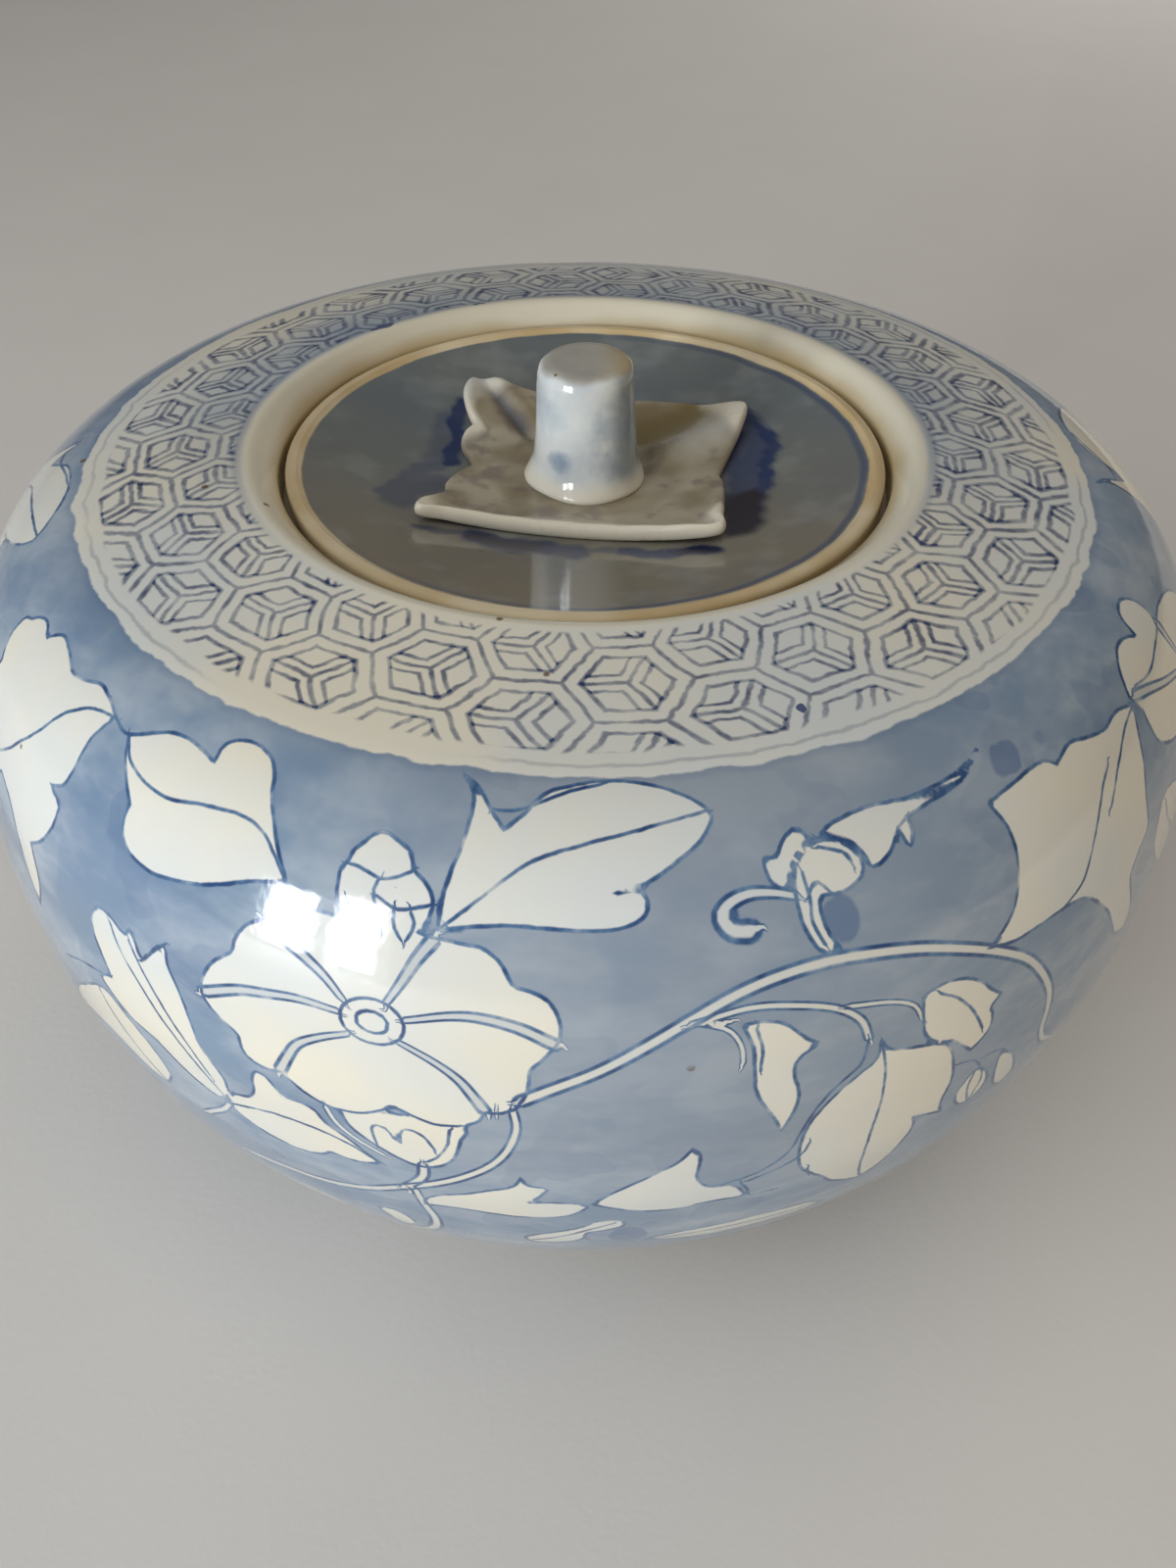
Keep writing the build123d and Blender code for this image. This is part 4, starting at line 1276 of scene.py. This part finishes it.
# Painted highlight: the leaf's rim is painted paler, faintly all round and strongly along the front and left
# edges that face the lamps. The raised tips are painted paler too.
near_edge = np.exp(-((leaf_reach - leaf_r) / 4.2).clip(0, None) ** 2)
left_edge = ease(-leaf_x_at, 14, 20) * ease(leaf_y_at, 6, 14)
tips = 0.0
for tip_x, tip_y, _ in TIP_LIFTS:
    share, side = along_ridge(leaf_x_at, leaf_y_at, tip_x, tip_y)
    tips = np.maximum(tips, 0.8 * ease(share, 0.7, 0.95))
front_edge = ease(-leaf_y_at, 11, 19)
pale_rim_and_edge_highlight = near_edge * (0.15 + 0.95 * np.maximum(front_edge, 0.85 * left_edge))
paint_on(leaf, "edge", np.maximum(pale_rim_and_edge_highlight, tips))
share, side = along_ridge(leaf_x_at, leaf_y_at, 29.4, 16.6)
paint_on(leaf, "ridge", np.exp(-(((side - RIDGE_SIDE) / 3.8) ** 2)) * ease(share, 0.4, 0.62))
paint_on(leaf, "hollow", np.exp(-(((side - HOLLOW_SIDE) / 4.2) ** 2)) * ease(share, 0.32, 0.5))
share, side = along_ridge(leaf_x_at, leaf_y_at, -20.2, 25.7)
paint_on(leaf, "groove", np.exp(-((side / 1.3) ** 2)) * ease(share, 0.42, 0.6) * ease(-share, -1.0, -0.85))

# %% Leaf glaze
LEAF_PALE = srgb(172, 164, 144)
LEAF_GREY = srgb(136, 124, 100)
LEAF_OLIVE = srgb(128, 114, 78)
LEAF_MAUVE = srgb(112, 98, 92)
LEAF_SHADE = srgb(84, 90, 98)

leaf_paint = Paint("leaf_glaze_pale_olive", leaf)
leaf_x, leaf_y, _ = leaf_paint.axes()
leaf_mottle = leaf_paint.noise(11, 2.0, 0.5, seed=4.0)
leaf_cloud = leaf_paint.noise(5, 2.0, 0.5, seed=8.0)
leaf_grain = leaf_paint.noise(0.9, 2.0, 0.5, seed=12.0)
hollow = leaf_paint.attribute("hollow")
ridge = leaf_paint.attribute("ridge")
groove = leaf_paint.attribute("groove")
leaf_colour = leaf_paint.mix(leaf_mottle.rise(0.35, 0.65), LEAF_PALE, LEAF_GREY)
leaf_colour = leaf_paint.mix(leaf_cloud.rise(0.5, 0.66) * 0.55, leaf_colour, LEAF_MAUVE)
leaf_colour = leaf_paint.mix((hollow * (leaf_cloud + 0.7)).math("MINIMUM", 1.0), leaf_colour, LEAF_OLIVE)
leaf_colour = leaf_paint.mix(ridge * 0.45, leaf_colour, PORCELAIN_COOL)
leaf_colour = leaf_paint.mix(groove * 0.8, leaf_colour, LEAF_SHADE)
# Painted highlight: porcelain white along the lit front and left edges, over a faint pale rim and paler tips.
edge = leaf_paint.attribute("edge") + (leaf_cloud - 0.5) * 0.7
leaf_colour = leaf_paint.mix(edge.rise(0.3, 0.9) * 0.9, leaf_colour, PORCELAIN)
blue_tip = (leaf_x * -1000.0 + leaf_y * 1200.0).rise(40.0, 52.0)
leaf_colour = leaf_paint.mix(blue_tip * 0.5, leaf_colour, WASH_PALE)
leaf_roughness = leaf_mottle * 0.15 + 0.2
leaf_paint.finish(leaf_colour, leaf_roughness, leaf_cloud * 0.7 + leaf_grain * 0.3, 0.05)
leaf_paint.shader.inputs["Coat Weight"].default_value = 0.15
leaf_paint.shader.inputs["Coat Roughness"].default_value = 0.06
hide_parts("lid_calyx")
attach(leaf, "lid")

# %% [markdown]
# ## The knob
# The knob is the leaf's stalk: a short tapered roll of clay, pressed down so that its foot spreads in a
# wavy cuff, with a softly rounded top that leans a little.

# %% Knob mesh
KNOB_FOOT = LEAF_SEAT
KNOB_TOP = 143.2
knob_corners = [
    (1.0, KNOB_FOOT), (10.8, KNOB_FOOT), (10.7, KNOB_FOOT + 0.8), (9.1, KNOB_FOOT + 3.8),
    (7.9, KNOB_TOP - 0.05), (1.0, KNOB_TOP - 0.15),
]
knob_outline = rounded(knob_corners, [0.4, 0.8, 7.0, 2.1], 0.45)
knob_theta = columns(192)
knob_rise = (knob_outline[:, 1:] - KNOB_FOOT) / (KNOB_TOP - KNOB_FOOT)
cuff = np.exp(-((knob_rise / 0.12) ** 2))
wave = 0.22 * np.sin(3 * knob_theta + 0.7) + 0.16 * np.sin(5 * knob_theta + 2.1) - 0.25
press = 0.1 * np.sin(2 * knob_theta + 5 * knob_rise) + 0.06 * np.sin(3 * knob_theta - 9 * knob_rise + 1)
knob_radius = knob_outline[:, :1] * (1 + 0.09 * (cuff * wave + (1 - cuff) * press))
lean = -0.03 * knob_radius * (1 + np.cos(knob_theta + 0.5)) * np.clip((knob_rise - 0.6) / 0.4, 0, 1)
knob_points = place(knob_radius, np.minimum(knob_outline[:, 1:] + lean, KNOB_TOP), knob_theta[None, :])
knob = closed_grid(
    "lid_knob_glazed", knob_points, knob_theta, run_length(knob_outline),
    (0, 0, KNOB_FOOT), (0, 0, float(knob_points[-1, :, 2].mean())))

# %% Knob glaze
KNOB_SLATE = srgb(104, 120, 134)
BLUE_DOTS = [(-4.6, 128.4, 1.8, 0.75), (5.4, 134.0, 4.4, 0.5), (-6.0, 136.0, 2.6, 0.3),
    (3.6, 128.0, 3.0, 0.35)]
knob_paint = Paint("knob_glaze_white", knob)
knob_x, knob_y, knob_z = knob_paint.axes()
knob_cloud = knob_paint.noise(7, 3.0, 0.5, seed=6.0)
knob_grain = knob_paint.noise(1.0, 2.0, 0.5, seed=10.0)
knob_smear = knob_paint.noise(3.5, 3.0, 0.6, seed=14.0)
knob_colour = knob_paint.mix(knob_cloud.rise(0.3, 0.75) * 0.55, PORCELAIN_COOL, WASH_PALE)
shadow_side = (knob_x * 1000.0 + (knob_cloud - 0.5) * 5.0).rise(2.5, 7.0)
knob_colour = knob_paint.mix(shadow_side * 0.6, knob_colour, KNOB_SLATE)
for dot_x, dot_z, dot_size, dot_share in BLUE_DOTS:
    dot_across = (knob_x * 1000.0 - dot_x) / dot_size
    dot_up = (knob_z * 1000.0 - dot_z) / dot_size
    dot = (dot_across * dot_across + dot_up * dot_up + (knob_smear - 0.5) * 4.0).rise(1.8, -0.6)
    knob_colour = knob_paint.mix(dot * knob_y.rise(0.0, -0.003) * dot_share, knob_colour, WASH)
rise_share = (knob_z - KNOB_FOOT * MM) / ((KNOB_TOP - KNOB_FOOT) * MM)
cuff_pool = rise_share.rise(0.2, 0.06)
knob_colour = knob_paint.mix(cuff_pool * 0.8, knob_colour, PORCELAIN)
# The top of the knob is painted darker grey, with ochre towards its right-hand side.
darker_knob_top = (rise_share + (knob_cloud - 0.5) * 0.08).rise(0.93, 0.98)
knob_colour = knob_paint.mix(darker_knob_top * 0.6, knob_colour, LEAF_GREY)
ochre_edge = darker_knob_top * (knob_x * 1000.0).rise(1.0, 7.0)
knob_colour = knob_paint.mix(ochre_edge * 0.7, knob_colour, MOUTH_OCHRE)
knob_specks = knob_paint.specks(8.0, 0.45, seed=1.5)
knob_colour = knob_paint.mix(knob_specks * 0.8, knob_colour, IRON)
knob_paint.finish(knob_colour, knob_cloud * 0.08 + 0.06, knob_cloud * 0.7 + knob_grain * 0.3, 0.08)
knob_paint.shader.inputs["Coat Weight"].default_value = 0.4
knob_paint.shader.inputs["Coat Roughness"].default_value = 0.04
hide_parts("lid_knob")
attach(knob, "lid")

# %% [markdown]
# ## Floor and light
# Glossy ware is lit with large soft boxes, because every lamp shows in the glaze as its own shape. A cool
# one stands low in front on the left like a window, split in two panes. A weak warm one fills from the
# right, one hangs behind and above for the lip, and a large dim one is overhead.

# %% Floor
floor_mesh = bpy.data.meshes.new("floor")
reach = 4.0
floor_mesh.from_pydata(
    [(-reach, -reach, 0), (reach, -reach, 0), (reach, reach, 0), (-reach, reach, 0)], [], [(0, 1, 2, 3)]
)
floor = bpy.data.objects.new("floor", floor_mesh)
bpy.context.scene.collection.objects.link(floor)
floor_paint = Paint("floor_pale", floor)
floor_paint.finish(floor_paint.mix(floor_paint.noise(60, 3.0), srgb(214, 211, 206), srgb(220, 217, 212)), 0.6,
                   floor_paint.noise(2.0, 3.0), 0.05)

# %% Lights
AIM = (0.0, 0.0, 0.08)


def soft_box(name, direction, distance, size, power, colour, shines=True):
    """A rectangular lamp at a distance from the jar in a direction, facing it. One that does not shine
    lights the ware but makes no reflection of itself in the glaze."""
    data = bpy.data.lights.new(name, "AREA")
    data.shape = "RECTANGLE"
    data.size, data.size_y = size
    data.energy = power
    data.color = colour
    lamp = bpy.data.objects.new(name, data)
    bpy.context.scene.collection.objects.link(lamp)
    direction = np.array(direction) / np.linalg.norm(direction)
    lamp.location = [float(a + distance * d) for a, d in zip(AIM, direction)]
    lamp.rotation_mode = "QUATERNION"
    lamp.rotation_quaternion = Vector(direction).to_track_quat("Z", "Y")
    lamp.visible_glossy = shines


COOL = (0.94, 0.97, 1.0)
WARM = (1.0, 0.79, 0.54)
NEUTRAL = (1.0, 0.98, 0.95)
soft_box("window_right_pane", (-0.553, -0.811, 0.15), 1.1, (0.14, 0.42), 4.0, COOL)
soft_box("window_left_pane", (-0.70, -0.70, 0.12), 1.1, (0.15, 0.34), 3.5, COOL)
soft_box("left_fill", (-0.8, -0.5, 0.6), 1.3, (0.9, 0.9), 5.0, COOL, shines=False)
soft_box("right_fill", (0.9, -0.35, 0.25), 1.5, (0.8, 0.8), 3.9, WARM, shines=False)
soft_box("back_fill", (0.5, 0.9, 0.35), 1.6, (1.0, 0.8), 5.0, NEUTRAL, shines=False)
soft_box("overhead", (-0.2, -0.3, 1.0), 2.6, (2.4, 2.4), 15.5, NEUTRAL, shines=False)

world = bpy.data.worlds.new("studio")
bpy.context.scene.world = world
world.use_nodes = True
world.node_tree.nodes["Background"].inputs["Color"].default_value = (1.0, 0.96, 0.92, 1.0)
world.node_tree.nodes["Background"].inputs["Strength"].default_value = 0.13
bpy.context.scene.view_settings.view_transform = "Standard"
